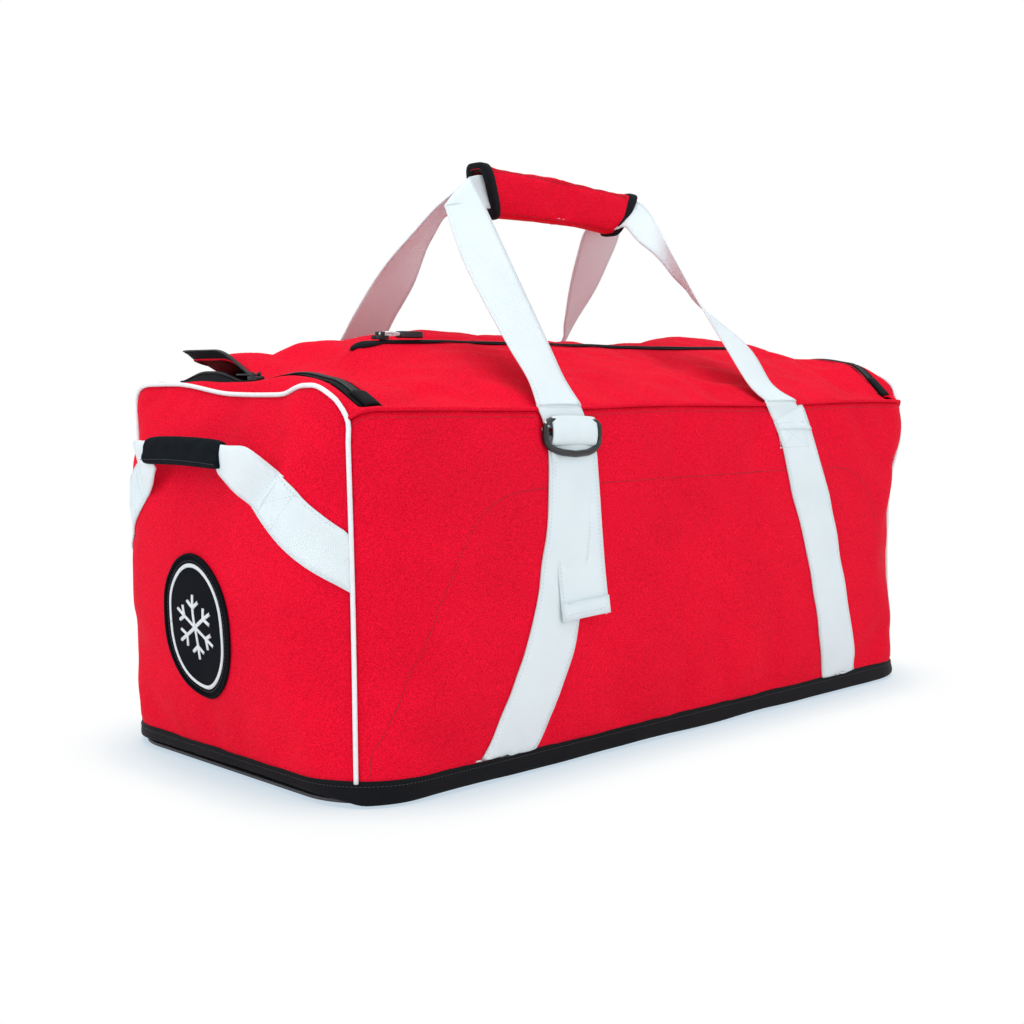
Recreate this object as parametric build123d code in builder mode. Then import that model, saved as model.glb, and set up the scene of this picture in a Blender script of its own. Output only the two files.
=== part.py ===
from build123d import *
import math
import os

os.makedirs("parts", exist_ok=True)

# A soft hockey equipment bag, stuffed and standing on its base.
# Millimetres, +Z up. The origin is the middle of the base's underside, +X runs along
# the bag to the end without the badge, and -Y is the side that the lid is hinged on.

# Body
body_length = 940.0
body_width = 426.0
corner_radius = 80.0
cloth = 3.0
band_height = 25.0
board_thickness = 3.0
board_clearance = 2.0
seam_height = 362.0
deck_rise = 22.0
front_shoulder = 138.0
rear_shoulder = 38.0
piping_radius = 2.75
piping_gap = 0.36
piping_corner_drop = 14.0
piping_crest_drop = 4.0
piping_tight_bend = 12.0
piping_easy_bend = 30.0
cord_radius = 2.5

# Top opening, zip and lid
side_border = 42.0
rear_border = 53.0
opening_corner_radius = 47.0
border_cloth = 2.5
tape_width = 13.0
tape_thickness = 1.5
coil_width = 1.8
coil_height = 1.5
zip_gap = 0.3
patch_length = 26.0
lid_rise = 64.0
lid_crown_setback = 165.0
lid_end_step = 25.0
lid_end_rise = 32.0
lid_shoulder = 115.0
hinge_gap = 0.5
fold_gap = 2.0

# Lid pocket and its zip
liner_drop = 32.0
pocket_zip_left_margin = 85.0
pocket_zip_right_margin = 148.0
pocket_tape_width = 22.0
pocket_slider_open = 38.0
side_slider_y = -12.0
rear_slider_margin = 128.0

# Zip sliders and their pulls
slider_length = 16.0
slider_width = 9.0
slider_roof = 4.0
slider_gap = 0.3
slider_lug_length = 5.0
slider_lug_width = 1.4
slider_lug_height = 4.0
slider_lug_gap = 0.5
pin_radius = 1.2
pull_length = 30.0
pull_width = 6.0
pull_thickness = 1.6
pull_gap = 0.4
pocket_loop_length = 24.0
pocket_tab_length = 30.0
pocket_tab_width = 13.0
pocket_tab_thickness = 7.0
pocket_tab_corner = 3.0

# Webbing and carry loops
webbing_width = 66.0
webbing = 2.0
strap_foot = 287.0
strap_mid = 232.0
strap_mid_height = 151.0
strap_top = 191.0
rear_strap_top = 160.0
strap_top_drop = 20.0
carry_rise = 240.0
grip_bar_height = 44.0
grip_bar_offset = 9.0
grip_bar_overhang = 30.0
riser_start = 9.0
wrap_length = 240.0
wrap_pad = 5.0
wrap_binding = 9.0
wrap_clearance = 1.0

# Adjuster and hanging tail on the front left strap
adjuster_height = 30.0
adjuster_thickness = 6.0
adjuster_bar = 5.0
adjuster_overlap = 10.0
tail_length = 176.0
tail_bar_radius = 2.0

# End handles
handle_drop = 99.0
handle_half_span = 95.0
handle_reach = 53.0
handle_lean = 45.0
handle_bar = 16.0
handle_grip_length = 134.0
handle_grip_pad = 6.0
anchor_fall = 57.0
anchor_trim = 5.0
handle_leg_out = 8.0
handle_leg_in = 12.0

# Pocket inside the front, and badge
inner_pocket_drop = 78.0
inner_pocket_half_top = 290.0
inner_pocket_margin = 10.0
inner_pocket_foot = 32.0
inner_pocket_zip = 20.0
inner_pocket_shoulder = 45.0
inner_pocket_shoulder_drop = 60.0
badge_height = 142.0
badge_width = 110.0
badge_middle = 151.0
badge_cloth = 2.0
badge_ring_inset = 7.0
badge_ring_width = 4.0
snowflake_arm = 32.0
snowflake_barb = 11.0
snowflake_width = 4.0
snowflake_barb_share = 0.6

# Worked out from the sizes above
half_length = body_length / 2
half_width = body_width / 2
centre_x = half_length - corner_radius
centre_y = half_width - corner_radius
diagonal = math.sqrt(0.5)
corner_share = 45.0
corner_bow = corner_radius * (1 - math.cos(math.radians(corner_share / 4)))
piping_stand_off = corner_bow + piping_gap
deck_height = seam_height + deck_rise
front_shoulder_y = -front_shoulder
rear_shoulder_y = half_width - rear_shoulder
opening_x = half_length - side_border
opening_y = half_width - rear_border
hinge_y = half_width - cord_radius
hinge_height = seam_height + cord_radius
lid_front = -hinge_y + cord_radius + hinge_gap
lid_rim = deck_height + border_cloth + tape_thickness
lid_half_length = opening_x - zip_gap - tape_width
lid_rear = opening_y - zip_gap - tape_width
crown_height = seam_height + lid_rise
crown_y = -half_width + lid_crown_setback
tape_bottom = border_cloth
coil_bottom = border_cloth + tape_thickness
coil_top = deck_height + coil_bottom + coil_height
lid_front_height = seam_height + cloth + hinge_gap
pocket_zip_start = -opening_x + pocket_zip_left_margin
pocket_zip_end = opening_x - pocket_zip_right_margin
strap_top_height = seam_height - strap_top_drop
grip_height = seam_height + carry_rise
grip_half_length = wrap_length / 2 + grip_bar_overhang
riser_top = (wrap_length + grip_bar_height) / 2 + fold_gap
wrap_height = grip_bar_height + 2 * (wrap_pad + wrap_clearance)
wrap_thickness = 2 * (grip_bar_offset + 2 * webbing + wrap_clearance + wrap_pad)
lug_spacing = pull_width + 2 * slider_lug_gap + slider_lug_width
pin_height = slider_roof + pull_gap + pin_radius
adjuster_width = webbing_width + 2 * adjuster_bar + fold_gap
handle_hinge_height = deck_height - handle_drop
handle_grip_height = handle_bar + 2 * handle_grip_pad
handle_grip_thickness = 2 * (webbing / 2 + 1.5 * handle_grip_pad)
inner_pocket_top = seam_height - inner_pocket_drop
inner_pocket_half_foot = centre_x - inner_pocket_margin


def write(builder, label):
    """Names one finished piece and writes it."""
    builder.part.label = label
    export_step(builder.part, f"parts/{label}.step")


# ---------------------------------------------------------------- base

with BuildPart() as base_panel:
    with BuildSketch():
        RectangleRounded(body_length, body_width, corner_radius)
    extrude(amount=band_height)
    fillet(base_panel.faces().sort_by(Axis.Z)[0].edges(), cloth)
    with BuildSketch(Plane.XY.offset(cloth)):
        RectangleRounded(
            body_length - 2 * cloth, body_width - 2 * cloth, corner_radius - cloth
        )
    extrude(amount=band_height, mode=Mode.SUBTRACT)
write(base_panel, "base_panel")

board_inset = 2 * (cloth + board_clearance)
with BuildPart() as base_board:
    with BuildSketch(Plane.XY.offset(cloth)):
        RectangleRounded(
            body_length - board_inset,
            body_width - board_inset,
            corner_radius - board_inset / 2,
        )
    extrude(amount=board_thickness)
write(base_board, "base_board")


# ---------------------------------------------------------------- side and end panels

def wall_sketch(corners):
    """Draws the part of the wall's plan that lies inside a polygon."""
    RectangleRounded(body_length, body_width, corner_radius)
    RectangleRounded(
        body_length - 2 * cloth,
        body_width - 2 * cloth,
        corner_radius - cloth,
        mode=Mode.SUBTRACT,
    )
    Polygon(*corners, align=None, mode=Mode.INTERSECT)


def long_side_corners(side):
    """Plan of one long side, cut along the diagonals of the bag's corners."""
    reach = 2 * corner_radius
    return (
        (-centre_x, side * centre_y),
        (centre_x, side * centre_y),
        (centre_x + reach, side * (centre_y + reach)),
        (-centre_x - reach, side * (centre_y + reach)),
    )


def end_corners(side):
    """Plan of one end, cut along the same diagonals."""
    reach = 2 * corner_radius
    return (
        (side * centre_x, -centre_y),
        (side * centre_x, centre_y),
        (side * (centre_x + reach), centre_y + reach),
        (side * (centre_x + reach), -centre_y - reach),
    )


def deck_outline(bottom, top):
    """Outline of the top deck's cross-section, between two heights above it."""
    line = (
        (-half_width, seam_height),
        (front_shoulder_y, deck_height),
        (rear_shoulder_y, deck_height),
        (half_width, seam_height),
    )
    lower = [(y, z + bottom) for y, z in line]
    upper = [(y, z + top) for y, z in reversed(line)]
    return lower + upper


def deck_layer(bottom, top):
    """A sheet that follows the deck from end to end, between two heights above it."""
    with BuildPart(mode=Mode.PRIVATE) as layer:
        with BuildSketch(Plane.YZ):
            Polygon(*deck_outline(bottom, top), align=None)
        extrude(amount=body_length, both=True)
    return layer.part


for label, side in (("front_panel", -1), ("rear_panel", 1)):
    with BuildPart() as long_panel:
        with BuildSketch(Plane.XY.offset(band_height)):
            wall_sketch(long_side_corners(side))
        extrude(amount=seam_height - band_height)
    write(long_panel, label)

under_deck = deck_layer(-2 * deck_height, 0)
for label, side in (("left_end_panel", -1), ("right_end_panel", 1)):
    with BuildPart() as end_panel:
        with BuildSketch(Plane.XY.offset(band_height)):
            wall_sketch(end_corners(side))
        extrude(amount=deck_height)
        add(under_deck, mode=Mode.INTERSECT)
    write(end_panel, label)


# ---------------------------------------------------------------- piping and top cords

def piping_points(side):
    """Route of one end's piping: up a corner, across the end's top edge, and down."""
    reach = corner_radius + piping_radius + piping_stand_off
    top = deck_height + piping_radius
    turns = (corner_share, corner_share / 2, 0.0)
    heights = (top - piping_corner_drop, top - piping_crest_drop, top)
    front = [
        (
            side * (centre_x + reach * math.cos(math.radians(turn))),
            -centre_y - reach * math.sin(math.radians(turn)),
            height,
        )
        for turn, height in zip(turns, heights)
    ]
    rear = [(x, -y, z) for x, y, z in reversed(front)]
    foot = (front[0][0], front[0][1], band_height)
    far_foot = (rear[-1][0], rear[-1][1], band_height)
    return [foot, *front, *rear, far_foot]


piping_bends = (piping_tight_bend, *[piping_easy_bend] * 4, piping_tight_bend)
for label, side in (("left_piping", -1), ("right_piping", 1)):
    with BuildPart() as piping:
        with BuildLine() as route:
            FilletPolyline(*piping_points(side), radius=piping_bends)
        with BuildSketch(Plane(origin=route.line @ 0, z_dir=route.line % 0)):
            Circle(piping_radius)
        sweep()
    write(piping, label)

for label, side in (("front_seam_cord", -1), ("rear_seam_cord", 1)):
    with BuildPart() as seam_cord:
        with BuildSketch(Plane.YZ.offset(-centre_x)):
            with Locations((side * hinge_y, hinge_height)):
                Circle(cord_radius)
        extrude(amount=2 * centre_x)
    write(seam_cord, label)


# ---------------------------------------------------------------- top borders and main zip

def opening_sketch(grow, mode=Mode.ADD):
    """Plan of the zipped opening, grown by a distance: square in front, round behind."""
    with BuildSketch(mode=Mode.PRIVATE) as outline:
        front = -2 * body_width
        rear = opening_y + grow
        with Locations((0, (front + rear) / 2)):
            Rectangle(2 * (opening_x + grow), rear - front)
        fillet(
            outline.vertices().group_by(Axis.Y)[-1],
            opening_corner_radius + grow,
        )
    add(outline.sketch, mode=mode)


border_layer = deck_layer(0, border_cloth)
for label, side in (("left_top_border", -1), ("right_top_border", 1)):
    with BuildPart() as side_border_strip:
        with BuildSketch():
            RectangleRounded(body_length, body_width, corner_radius)
            with Locations((side * (opening_x + side_border / 2), 0)):
                Rectangle(side_border, body_width, mode=Mode.INTERSECT)
        extrude(amount=2 * deck_height)
        add(border_layer, mode=Mode.INTERSECT)
    write(side_border_strip, label)

with BuildPart() as rear_top_border:
    with BuildSketch():
        Rectangle(2 * opening_x, 2 * (half_width - 2 * cord_radius))
        opening_sketch(0, mode=Mode.SUBTRACT)
        RectangleRounded(
            body_length, body_width, corner_radius, mode=Mode.INTERSECT
        )
    extrude(amount=2 * deck_height)
    add(border_layer, mode=Mode.INTERSECT)
write(rear_top_border, "rear_top_border")


def zip_band(inner, outer, bottom, top):
    """A strip beside the opening's edge, between two distances out from it."""
    with BuildPart(mode=Mode.PRIVATE) as band:
        with BuildSketch():
            opening_sketch(outer)
            opening_sketch(inner, mode=Mode.SUBTRACT)
            with Locations((0, lid_front)):
                Rectangle(
                    2 * body_length,
                    body_width,
                    align=(Align.CENTER, Align.MAX),
                    mode=Mode.SUBTRACT,
                )
        extrude(amount=2 * deck_height)
        add(deck_layer(bottom, top), mode=Mode.INTERSECT)
    return band.part


zip_strips = (
    ("body_zip_tape", zip_gap, zip_gap + tape_width, tape_bottom, coil_bottom),
    (
        "body_zip_coil",
        zip_gap,
        zip_gap + coil_width,
        coil_bottom,
        coil_bottom + coil_height,
    ),
    ("lid_zip_tape", -zip_gap - tape_width, -zip_gap, tape_bottom, coil_bottom),
    (
        "lid_zip_coil",
        -zip_gap - coil_width,
        -zip_gap,
        coil_bottom,
        coil_bottom + coil_height,
    ),
)
for label, inner, outer, bottom, top in zip_strips:
    with BuildPart() as zip_strip:
        add(zip_band(inner, outer, bottom, top))
    write(zip_strip, label)

patch_layer = deck_layer(coil_bottom, coil_bottom + border_cloth)
for label, side in (("left_zip_patch", -1), ("right_zip_patch", 1)):
    with BuildPart() as zip_patch:
        patch_x = side * (opening_x + zip_gap + coil_width + tape_width / 2)
        with BuildSketch():
            with Locations((patch_x, lid_front + patch_length / 2)):
                Rectangle(tape_width - 2 * coil_width, patch_length)
        extrude(amount=2 * deck_height)
        add(patch_layer, mode=Mode.INTERSECT)
    write(zip_patch, label)


# ---------------------------------------------------------------- lid

lid_top_step = lid_half_length - lid_end_step
lid_top_flat = lid_half_length - lid_shoulder
lid_clear_top = crown_height + 2 * cloth
with BuildPart() as lid_core:
    with BuildSketch(Plane.YZ):
        with BuildLine():
            ThreePointArc(
                (lid_front, lid_front_height),
                (crown_y, crown_height),
                (lid_rear, lid_rim),
            )
            Polyline(
                (lid_rear, lid_rim),
                (lid_rear, 0),
                (lid_front, 0),
                (lid_front, lid_front_height),
            )
        make_face()
    extrude(amount=lid_half_length, both=True)
    with BuildSketch(Plane.XZ):
        Polygon(
            (-lid_half_length, 0),
            (-lid_half_length, lid_rim),
            (-lid_top_step, lid_rim + lid_end_rise),
            (-lid_top_flat, lid_clear_top),
            (lid_top_flat, lid_clear_top),
            (lid_top_step, lid_rim + lid_end_rise),
            (lid_half_length, lid_rim),
            (lid_half_length, 0),
            align=None,
        )
    extrude(amount=body_width, both=True, mode=Mode.INTERSECT)
    with BuildSketch():
        opening_sketch(-zip_gap - tape_width)
    extrude(amount=lid_clear_top, mode=Mode.INTERSECT)

lowered_lid = Pos(0, 0, -cloth) * lid_core.part

with BuildPart() as lid_panel:
    add(lid_core.part)
    add(lowered_lid, mode=Mode.SUBTRACT)
write(lid_panel, "lid_panel")

liner_top = crown_height - liner_drop
with BuildPart() as lid_pocket_liner:
    with BuildSketch(Plane.XY.offset(liner_top - webbing)):
        Rectangle(2 * body_length, 2 * body_width)
    extrude(amount=webbing)
    add(lowered_lid, mode=Mode.INTERSECT)
write(lid_pocket_liner, "lid_pocket_liner")

pocket_length = pocket_zip_end - pocket_zip_start
pocket_middle = (pocket_zip_start + pocket_zip_end) / 2
pocket_top = lid_core.part.bounding_box().max.Z + zip_gap

with BuildPart() as pocket_zip_tape:
    with BuildSketch(Plane.XY.offset(pocket_top)):
        with Locations((pocket_middle, crown_y)):
            Rectangle(pocket_length, pocket_tape_width)
    extrude(amount=tape_thickness)
write(pocket_zip_tape, "pocket_zip_tape")

pocket_coil_bottom = pocket_top + tape_thickness
with BuildPart() as pocket_zip_coil:
    with BuildSketch(Plane.XY.offset(pocket_coil_bottom)):
        with Locations((pocket_middle, crown_y)):
            Rectangle(pocket_length, 2 * coil_width)
    extrude(amount=coil_height)
write(pocket_zip_coil, "pocket_zip_coil")


# ---------------------------------------------------------------- zip sliders and pulls

def slider(plane):
    """A slider body: a channel over the coil, and a bridge that holds the pull's pin."""
    with BuildPart(mode=Mode.PRIVATE) as body:
        with BuildSketch(plane):
            Rectangle(slider_length, slider_width)
        extrude(amount=slider_roof)
        with BuildSketch(plane.offset(slider_roof)):
            with GridLocations(0, lug_spacing, 1, 2):
                Rectangle(slider_lug_length, slider_lug_width)
        extrude(amount=slider_lug_height)
    return body.part


def pull(plane, length, width):
    """A flat pull with a round eye on its pin, lying along the plane's x direction."""
    with BuildPart(mode=Mode.PRIVATE) as tab:
        with BuildSketch(plane.offset(pin_height)):
            with Locations((length / 2, 0)):
                Rectangle(length, width)
        extrude(amount=pull_thickness / 2, both=True)
        side_plane = Plane(
            plane.origin + plane.z_dir * pin_height,
            x_dir=plane.x_dir,
            z_dir=plane.y_dir,
        )
        with BuildSketch(side_plane):
            Circle(pin_radius)
        extrude(amount=width / 2, both=True)
    return tab.part


side_zip_plane = Plane(
    origin=(
        -opening_x - zip_gap - slider_width / 2,
        side_slider_y,
        coil_top + slider_gap,
    ),
    x_dir=(0, 1, 0),
    z_dir=(0, 0, 1),
)
rear_zip_plane = Plane(
    origin=(
        -opening_x + rear_slider_margin,
        opening_y + zip_gap + slider_width / 2,
        coil_top + slider_gap,
    ),
    x_dir=(1, 0, 0),
    z_dir=(0, 0, 1),
)
pocket_zip_plane = Plane(
    origin=(
        pocket_zip_start + pocket_slider_open,
        crown_y,
        pocket_coil_bottom + coil_height + slider_gap,
    ),
    x_dir=(1, 0, 0),
    z_dir=(0, 0, 1),
)
for label, plane in (
    ("side_zip_slider", side_zip_plane),
    ("rear_zip_slider", rear_zip_plane),
    ("pocket_zip_slider", pocket_zip_plane),
):
    with BuildPart() as slider_body:
        add(slider(plane))
    write(slider_body, label)

for label, plane, length in (
    ("side_zip_pull", side_zip_plane, pull_length),
    ("rear_zip_pull", rear_zip_plane, pull_length),
    ("pocket_pull_loop", pocket_zip_plane, pocket_loop_length),
):
    with BuildPart() as slider_pull:
        add(pull(plane, length, pull_width))
    write(slider_pull, label)

with BuildPart() as pocket_pull_tab:
    with BuildSketch(pocket_zip_plane.offset(pin_height)):
        with Locations((pocket_loop_length + pocket_tab_length / 2, 0)):
            RectangleRounded(pocket_tab_length, pocket_tab_width, pocket_tab_corner)
    extrude(amount=pocket_tab_thickness / 2, both=True)
write(pocket_pull_tab, "pocket_pull_tab")


# ---------------------------------------------------------------- sewn side straps

def strap_edge(side, top, shift):
    """One edge of a sewn strap on a long side, as points in that side's plane."""
    return (
        (side * (strap_foot + shift), band_height),
        (side * (strap_mid + shift), strap_mid_height),
        (side * (top + shift), strap_top_height),
    )


def sewn_strap(plane, side, top):
    """A strap sewn flat on a long side, leaning in as it rises from the base."""
    with BuildPart(mode=Mode.PRIVATE) as strap:
        with BuildSketch(plane):
            with BuildLine():
                inner = Spline(*strap_edge(side, top, -webbing_width / 2))
                outer = Spline(*strap_edge(side, top, webbing_width / 2))
                Line(inner @ 0, outer @ 0)
                Line(inner @ 1, outer @ 1)
            make_face()
        extrude(amount=webbing)
    return strap.part


front_face = Plane.XZ.offset(half_width)
rear_face = Plane.XZ.offset(-half_width - webbing)
for label, plane, side, top in (
    ("front_left_strap", front_face, -1, strap_top),
    ("front_right_strap", front_face, 1, strap_top),
    ("rear_left_strap", rear_face, -1, rear_strap_top),
    ("rear_right_strap", rear_face, 1, rear_strap_top),
):
    with BuildPart() as side_strap:
        add(sewn_strap(plane, side, top))
    write(side_strap, label)


# ---------------------------------------------------------------- carry loops

def loop_part(side, foot):
    """A carry loop: two leaning risers and the bar of folded webbing that they end in."""
    bar_y = side * grip_bar_offset
    rise = grip_height - hinge_height
    run = hinge_y - grip_bar_offset
    slope = math.hypot(rise, run)
    lean = Plane(
        origin=(0, side * hinge_y, hinge_height),
        x_dir=(1, 0, 0),
        z_dir=(0, -rise * side, -run) if side < 0 else (0, rise, run),
    )
    up = 1 if lean.y_dir.Z > 0 else -1
    with BuildPart(mode=Mode.PRIVATE) as loop:
        for across in (-1, 1):
            with BuildSketch(lean):
                Polygon(
                    (across * (foot - webbing_width / 2), up * riser_start),
                    (across * (foot + webbing_width / 2), up * riser_start),
                    (across * (riser_top + grip_bar_height / 2), up * slope),
                    (across * (riser_top - grip_bar_height / 2), up * slope),
                    align=None,
                )
            extrude(amount=webbing / 2, both=True)
        with BuildSketch(Plane.XZ.offset(-bar_y)):
            with Locations((0, grip_height)):
                Rectangle(2 * grip_half_length, grip_bar_height)
        extrude(amount=webbing, both=True)
    return loop.part


for label, side, foot in (
    ("front_loop_webbing", -1, strap_top),
    ("rear_loop_webbing", 1, rear_strap_top),
):
    with BuildPart() as loop_webbing:
        add(loop_part(side, foot))
    write(loop_webbing, label)

wrap_inner_height = wrap_height - 2 * wrap_pad
wrap_inner_thickness = wrap_thickness - 2 * wrap_pad
pad_length = wrap_length - 2 * wrap_binding
with BuildPart() as handle_wrap:
    with BuildSketch(Plane.YZ.offset(-pad_length / 2)):
        with Locations((0, grip_height)):
            RectangleRounded(wrap_thickness, wrap_height, wrap_thickness / 3)
            Rectangle(wrap_inner_thickness, wrap_inner_height, mode=Mode.SUBTRACT)
    extrude(amount=pad_length)
write(handle_wrap, "handle_wrap")

for label, side in (("wrap_left_binding", -1), ("wrap_right_binding", 1)):
    with BuildPart() as binding:
        start = min(side * pad_length / 2, side * wrap_length / 2)
        with BuildSketch(Plane.YZ.offset(start)):
            with Locations((0, grip_height)):
                RectangleRounded(wrap_thickness, wrap_height, wrap_thickness / 3)
                Rectangle(wrap_inner_thickness, wrap_inner_height, mode=Mode.SUBTRACT)
        extrude(amount=wrap_binding)
    write(binding, label)


# ---------------------------------------------------------------- adjuster and tail

adjuster_plane = Plane.XZ.offset(half_width + webbing)
adjuster_top = strap_top_height + adjuster_overlap
adjuster_middle = adjuster_top - adjuster_height / 2
slot_height = (adjuster_height - 3 * adjuster_bar) / 2
with BuildPart() as strap_adjuster:
    with BuildSketch(adjuster_plane):
        with Locations((-strap_top, adjuster_middle)):
            RectangleRounded(adjuster_width, adjuster_height, adjuster_bar / 2)
            with GridLocations(0, slot_height + adjuster_bar, 1, 2):
                Rectangle(
                    adjuster_width - 2 * adjuster_bar, slot_height, mode=Mode.SUBTRACT
                )
    extrude(amount=adjuster_thickness)
write(strap_adjuster, "strap_adjuster")

tail_plane = adjuster_plane.offset(adjuster_thickness + zip_gap)
with BuildPart() as adjuster_keeper:
    with BuildSketch(tail_plane.offset(-zip_gap)):
        with Locations((-strap_top, adjuster_middle)):
            Rectangle(webbing_width, adjuster_height - 2 * adjuster_bar)
    extrude(amount=webbing)
write(adjuster_keeper, "adjuster_keeper")

tail_top = adjuster_middle - adjuster_height / 2 + adjuster_bar
tail_bar_y = tail_plane.origin.Y - tail_bar_radius
with BuildPart() as strap_tail:
    with BuildSketch(tail_plane):
        with Locations((-strap_top, tail_top - tail_length / 2 - tail_bar_radius)):
            Rectangle(webbing_width, tail_length)
    extrude(amount=webbing)
    with BuildSketch(Plane.YZ.offset(-strap_top - webbing_width / 2)):
        with Locations((tail_bar_y, tail_top - tail_bar_radius)):
            Circle(tail_bar_radius)
    extrude(amount=webbing_width)
write(strap_tail, "strap_tail")


# ---------------------------------------------------------------- end handles

handle_hinge_x = half_length + webbing
seam_y = centre_y + corner_radius * diagonal
anchor_inner = handle_half_span
anchor_slope = anchor_fall / (seam_y - anchor_inner)
anchor_half_rise = webbing_width / 2 * math.hypot(1, anchor_slope)


def anchor_height(y):
    """Height of an anchor's middle line at a distance from the bag's middle."""
    return handle_hinge_height - anchor_slope * (abs(y) - anchor_inner)


def handle_anchor(side, across):
    """Webbing sewn from a corner seam up towards the grip, bent round the corner."""
    reach = 2 * corner_radius
    inner = across * anchor_inner
    outer = across * (centre_y + reach)
    with BuildPart(mode=Mode.PRIVATE) as anchor:
        with BuildSketch():
            RectangleRounded(
                body_length + 2 * webbing,
                body_width + 2 * webbing,
                corner_radius + webbing,
            )
            RectangleRounded(
                body_length, body_width, corner_radius, mode=Mode.SUBTRACT
            )
            Polygon(
                (side * centre_x, inner),
                (side * (centre_x + reach), inner),
                (side * (centre_x + reach), across * (centre_y + reach - anchor_trim)),
                (side * centre_x, across * (centre_y - anchor_trim)),
                align=None,
                mode=Mode.INTERSECT,
            )
        extrude(amount=deck_height)
        with BuildSketch(Plane.YZ):
            Polygon(
                (inner, anchor_height(inner) - anchor_half_rise),
                (inner, anchor_height(inner) + anchor_half_rise),
                (outer, anchor_height(outer) + anchor_half_rise),
                (outer, anchor_height(outer) - anchor_half_rise),
                align=None,
            )
        extrude(amount=body_length, both=True, mode=Mode.INTERSECT)
    return anchor.part


for end, side in (("left", -1), ("right", 1)):
    for position, across in (("front", -1), ("rear", 1)):
        with BuildPart() as anchor_piece:
            add(handle_anchor(side, across))
        write(anchor_piece, f"{end}_handle_{position}_anchor")

    hinge_x = side * (handle_hinge_x + webbing)
    lean_angle = math.radians(handle_lean)
    handle_plane = Plane(
        origin=(hinge_x, 0, handle_hinge_height),
        x_dir=(0, 1, 0),
        z_dir=(side * math.sin(lean_angle), 0, -math.cos(lean_angle)),
    )
    out = 1 if handle_plane.y_dir.Z > 0 else -1
    bar_inner = out * (handle_reach - handle_bar / 2)
    bar_outer = out * (handle_reach + handle_bar / 2)
    foot_half = webbing_width / 2
    with BuildPart() as handle_loop:
        for across in (-1, 1):
            with BuildSketch(handle_plane):
                Polygon(
                    (across * (handle_half_span - foot_half), 0),
                    (across * (handle_half_span + foot_half), 0),
                    (across * (handle_grip_length / 2 + handle_leg_out), bar_outer),
                    (across * (handle_grip_length / 2 - handle_leg_in), bar_outer),
                    (across * (handle_grip_length / 2 - handle_leg_in), bar_inner),
                    align=None,
                )
            extrude(amount=webbing / 2, both=True)
            with BuildSketch(Plane.XZ.offset(across * (handle_half_span - foot_half))):
                with Locations((hinge_x, handle_hinge_height)):
                    Circle(webbing / 2)
            extrude(amount=across * webbing_width)
        with BuildSketch(handle_plane):
            with Locations((0, out * handle_reach)):
                Rectangle(handle_grip_length, handle_bar)
        extrude(amount=webbing / 2, both=True)
    write(handle_loop, f"{end}_handle_loop")

    with BuildPart() as handle_grip:
        grip_plane = Plane(
            origin=handle_plane.origin
            + handle_plane.y_dir * (out * handle_reach)
            - Vector(0, handle_grip_length / 2, 0),
            x_dir=handle_plane.y_dir,
            z_dir=(0, 1, 0),
        )
        with BuildSketch(grip_plane):
            RectangleRounded(
                handle_grip_height, handle_grip_thickness, handle_grip_thickness / 3
            )
        extrude(amount=handle_grip_length)
        add(handle_loop.part, mode=Mode.SUBTRACT)
    write(handle_grip, f"{end}_handle_grip")


# ---------------------------------------------------------------- pocket inside the front

pocket_shoulder_x = inner_pocket_half_top + inner_pocket_shoulder
inner_face = Plane.XZ.offset(half_width - cloth - webbing)
with BuildPart() as inner_pocket:
    with BuildSketch(inner_face):
        with BuildLine():
            Spline(
                (-inner_pocket_half_foot, inner_pocket_foot),
                (-pocket_shoulder_x, inner_pocket_top - inner_pocket_shoulder_drop),
                (-inner_pocket_half_top, inner_pocket_top),
            )
            Line(
                (-inner_pocket_half_top, inner_pocket_top),
                (inner_pocket_half_top, inner_pocket_top),
            )
            Spline(
                (inner_pocket_half_top, inner_pocket_top),
                (pocket_shoulder_x, inner_pocket_top - inner_pocket_shoulder_drop),
                (inner_pocket_half_foot, inner_pocket_foot),
            )
            Line(
                (inner_pocket_half_foot, inner_pocket_foot),
                (-inner_pocket_half_foot, inner_pocket_foot),
            )
        make_face()
    extrude(amount=webbing)
write(inner_pocket, "inner_pocket")

with BuildPart() as inner_pocket_zip_strip:
    with BuildSketch(inner_face):
        with Locations((0, inner_pocket_top - inner_pocket_zip)):
            Rectangle(2 * inner_pocket_half_top - inner_pocket_zip, inner_pocket_zip)
    extrude(amount=-webbing)
write(inner_pocket_zip_strip, "inner_pocket_zip")


# ---------------------------------------------------------------- badge

badge_plane = Plane(
    origin=(-half_length, 0, badge_middle), x_dir=(0, -1, 0), z_dir=(-1, 0, 0)
)
ring_inner = badge_ring_inset + badge_ring_width
with BuildPart() as badge_patch:
    with BuildSketch(badge_plane):
        Ellipse(badge_width / 2, badge_height / 2)
    extrude(amount=badge_cloth)
write(badge_patch, "badge_patch")

with BuildPart() as badge_ring:
    with BuildSketch(badge_plane.offset(badge_cloth)):
        Ellipse(badge_width / 2 - badge_ring_inset, badge_height / 2 - badge_ring_inset)
        Ellipse(
            badge_width / 2 - ring_inner,
            badge_height / 2 - ring_inner,
            mode=Mode.SUBTRACT,
        )
    extrude(amount=badge_cloth / 2)
write(badge_ring, "badge_ring")

with BuildPart() as badge_snowflake:
    with BuildSketch(badge_plane.offset(badge_cloth)):
        with PolarLocations(0, 6, start_angle=30):
            with Locations((snowflake_arm / 2, 0)):
                Rectangle(snowflake_arm, snowflake_width)
        for turn in (30, -30):
            with PolarLocations(snowflake_arm * snowflake_barb_share, 6, start_angle=30):
                with Locations(Location((0, 0), turn)):
                    with Locations((snowflake_barb / 2, 0)):
                        Rectangle(snowflake_barb, snowflake_width)
    extrude(amount=badge_cloth / 2)
write(badge_snowflake, "badge_snowflake")
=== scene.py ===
import math

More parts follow.
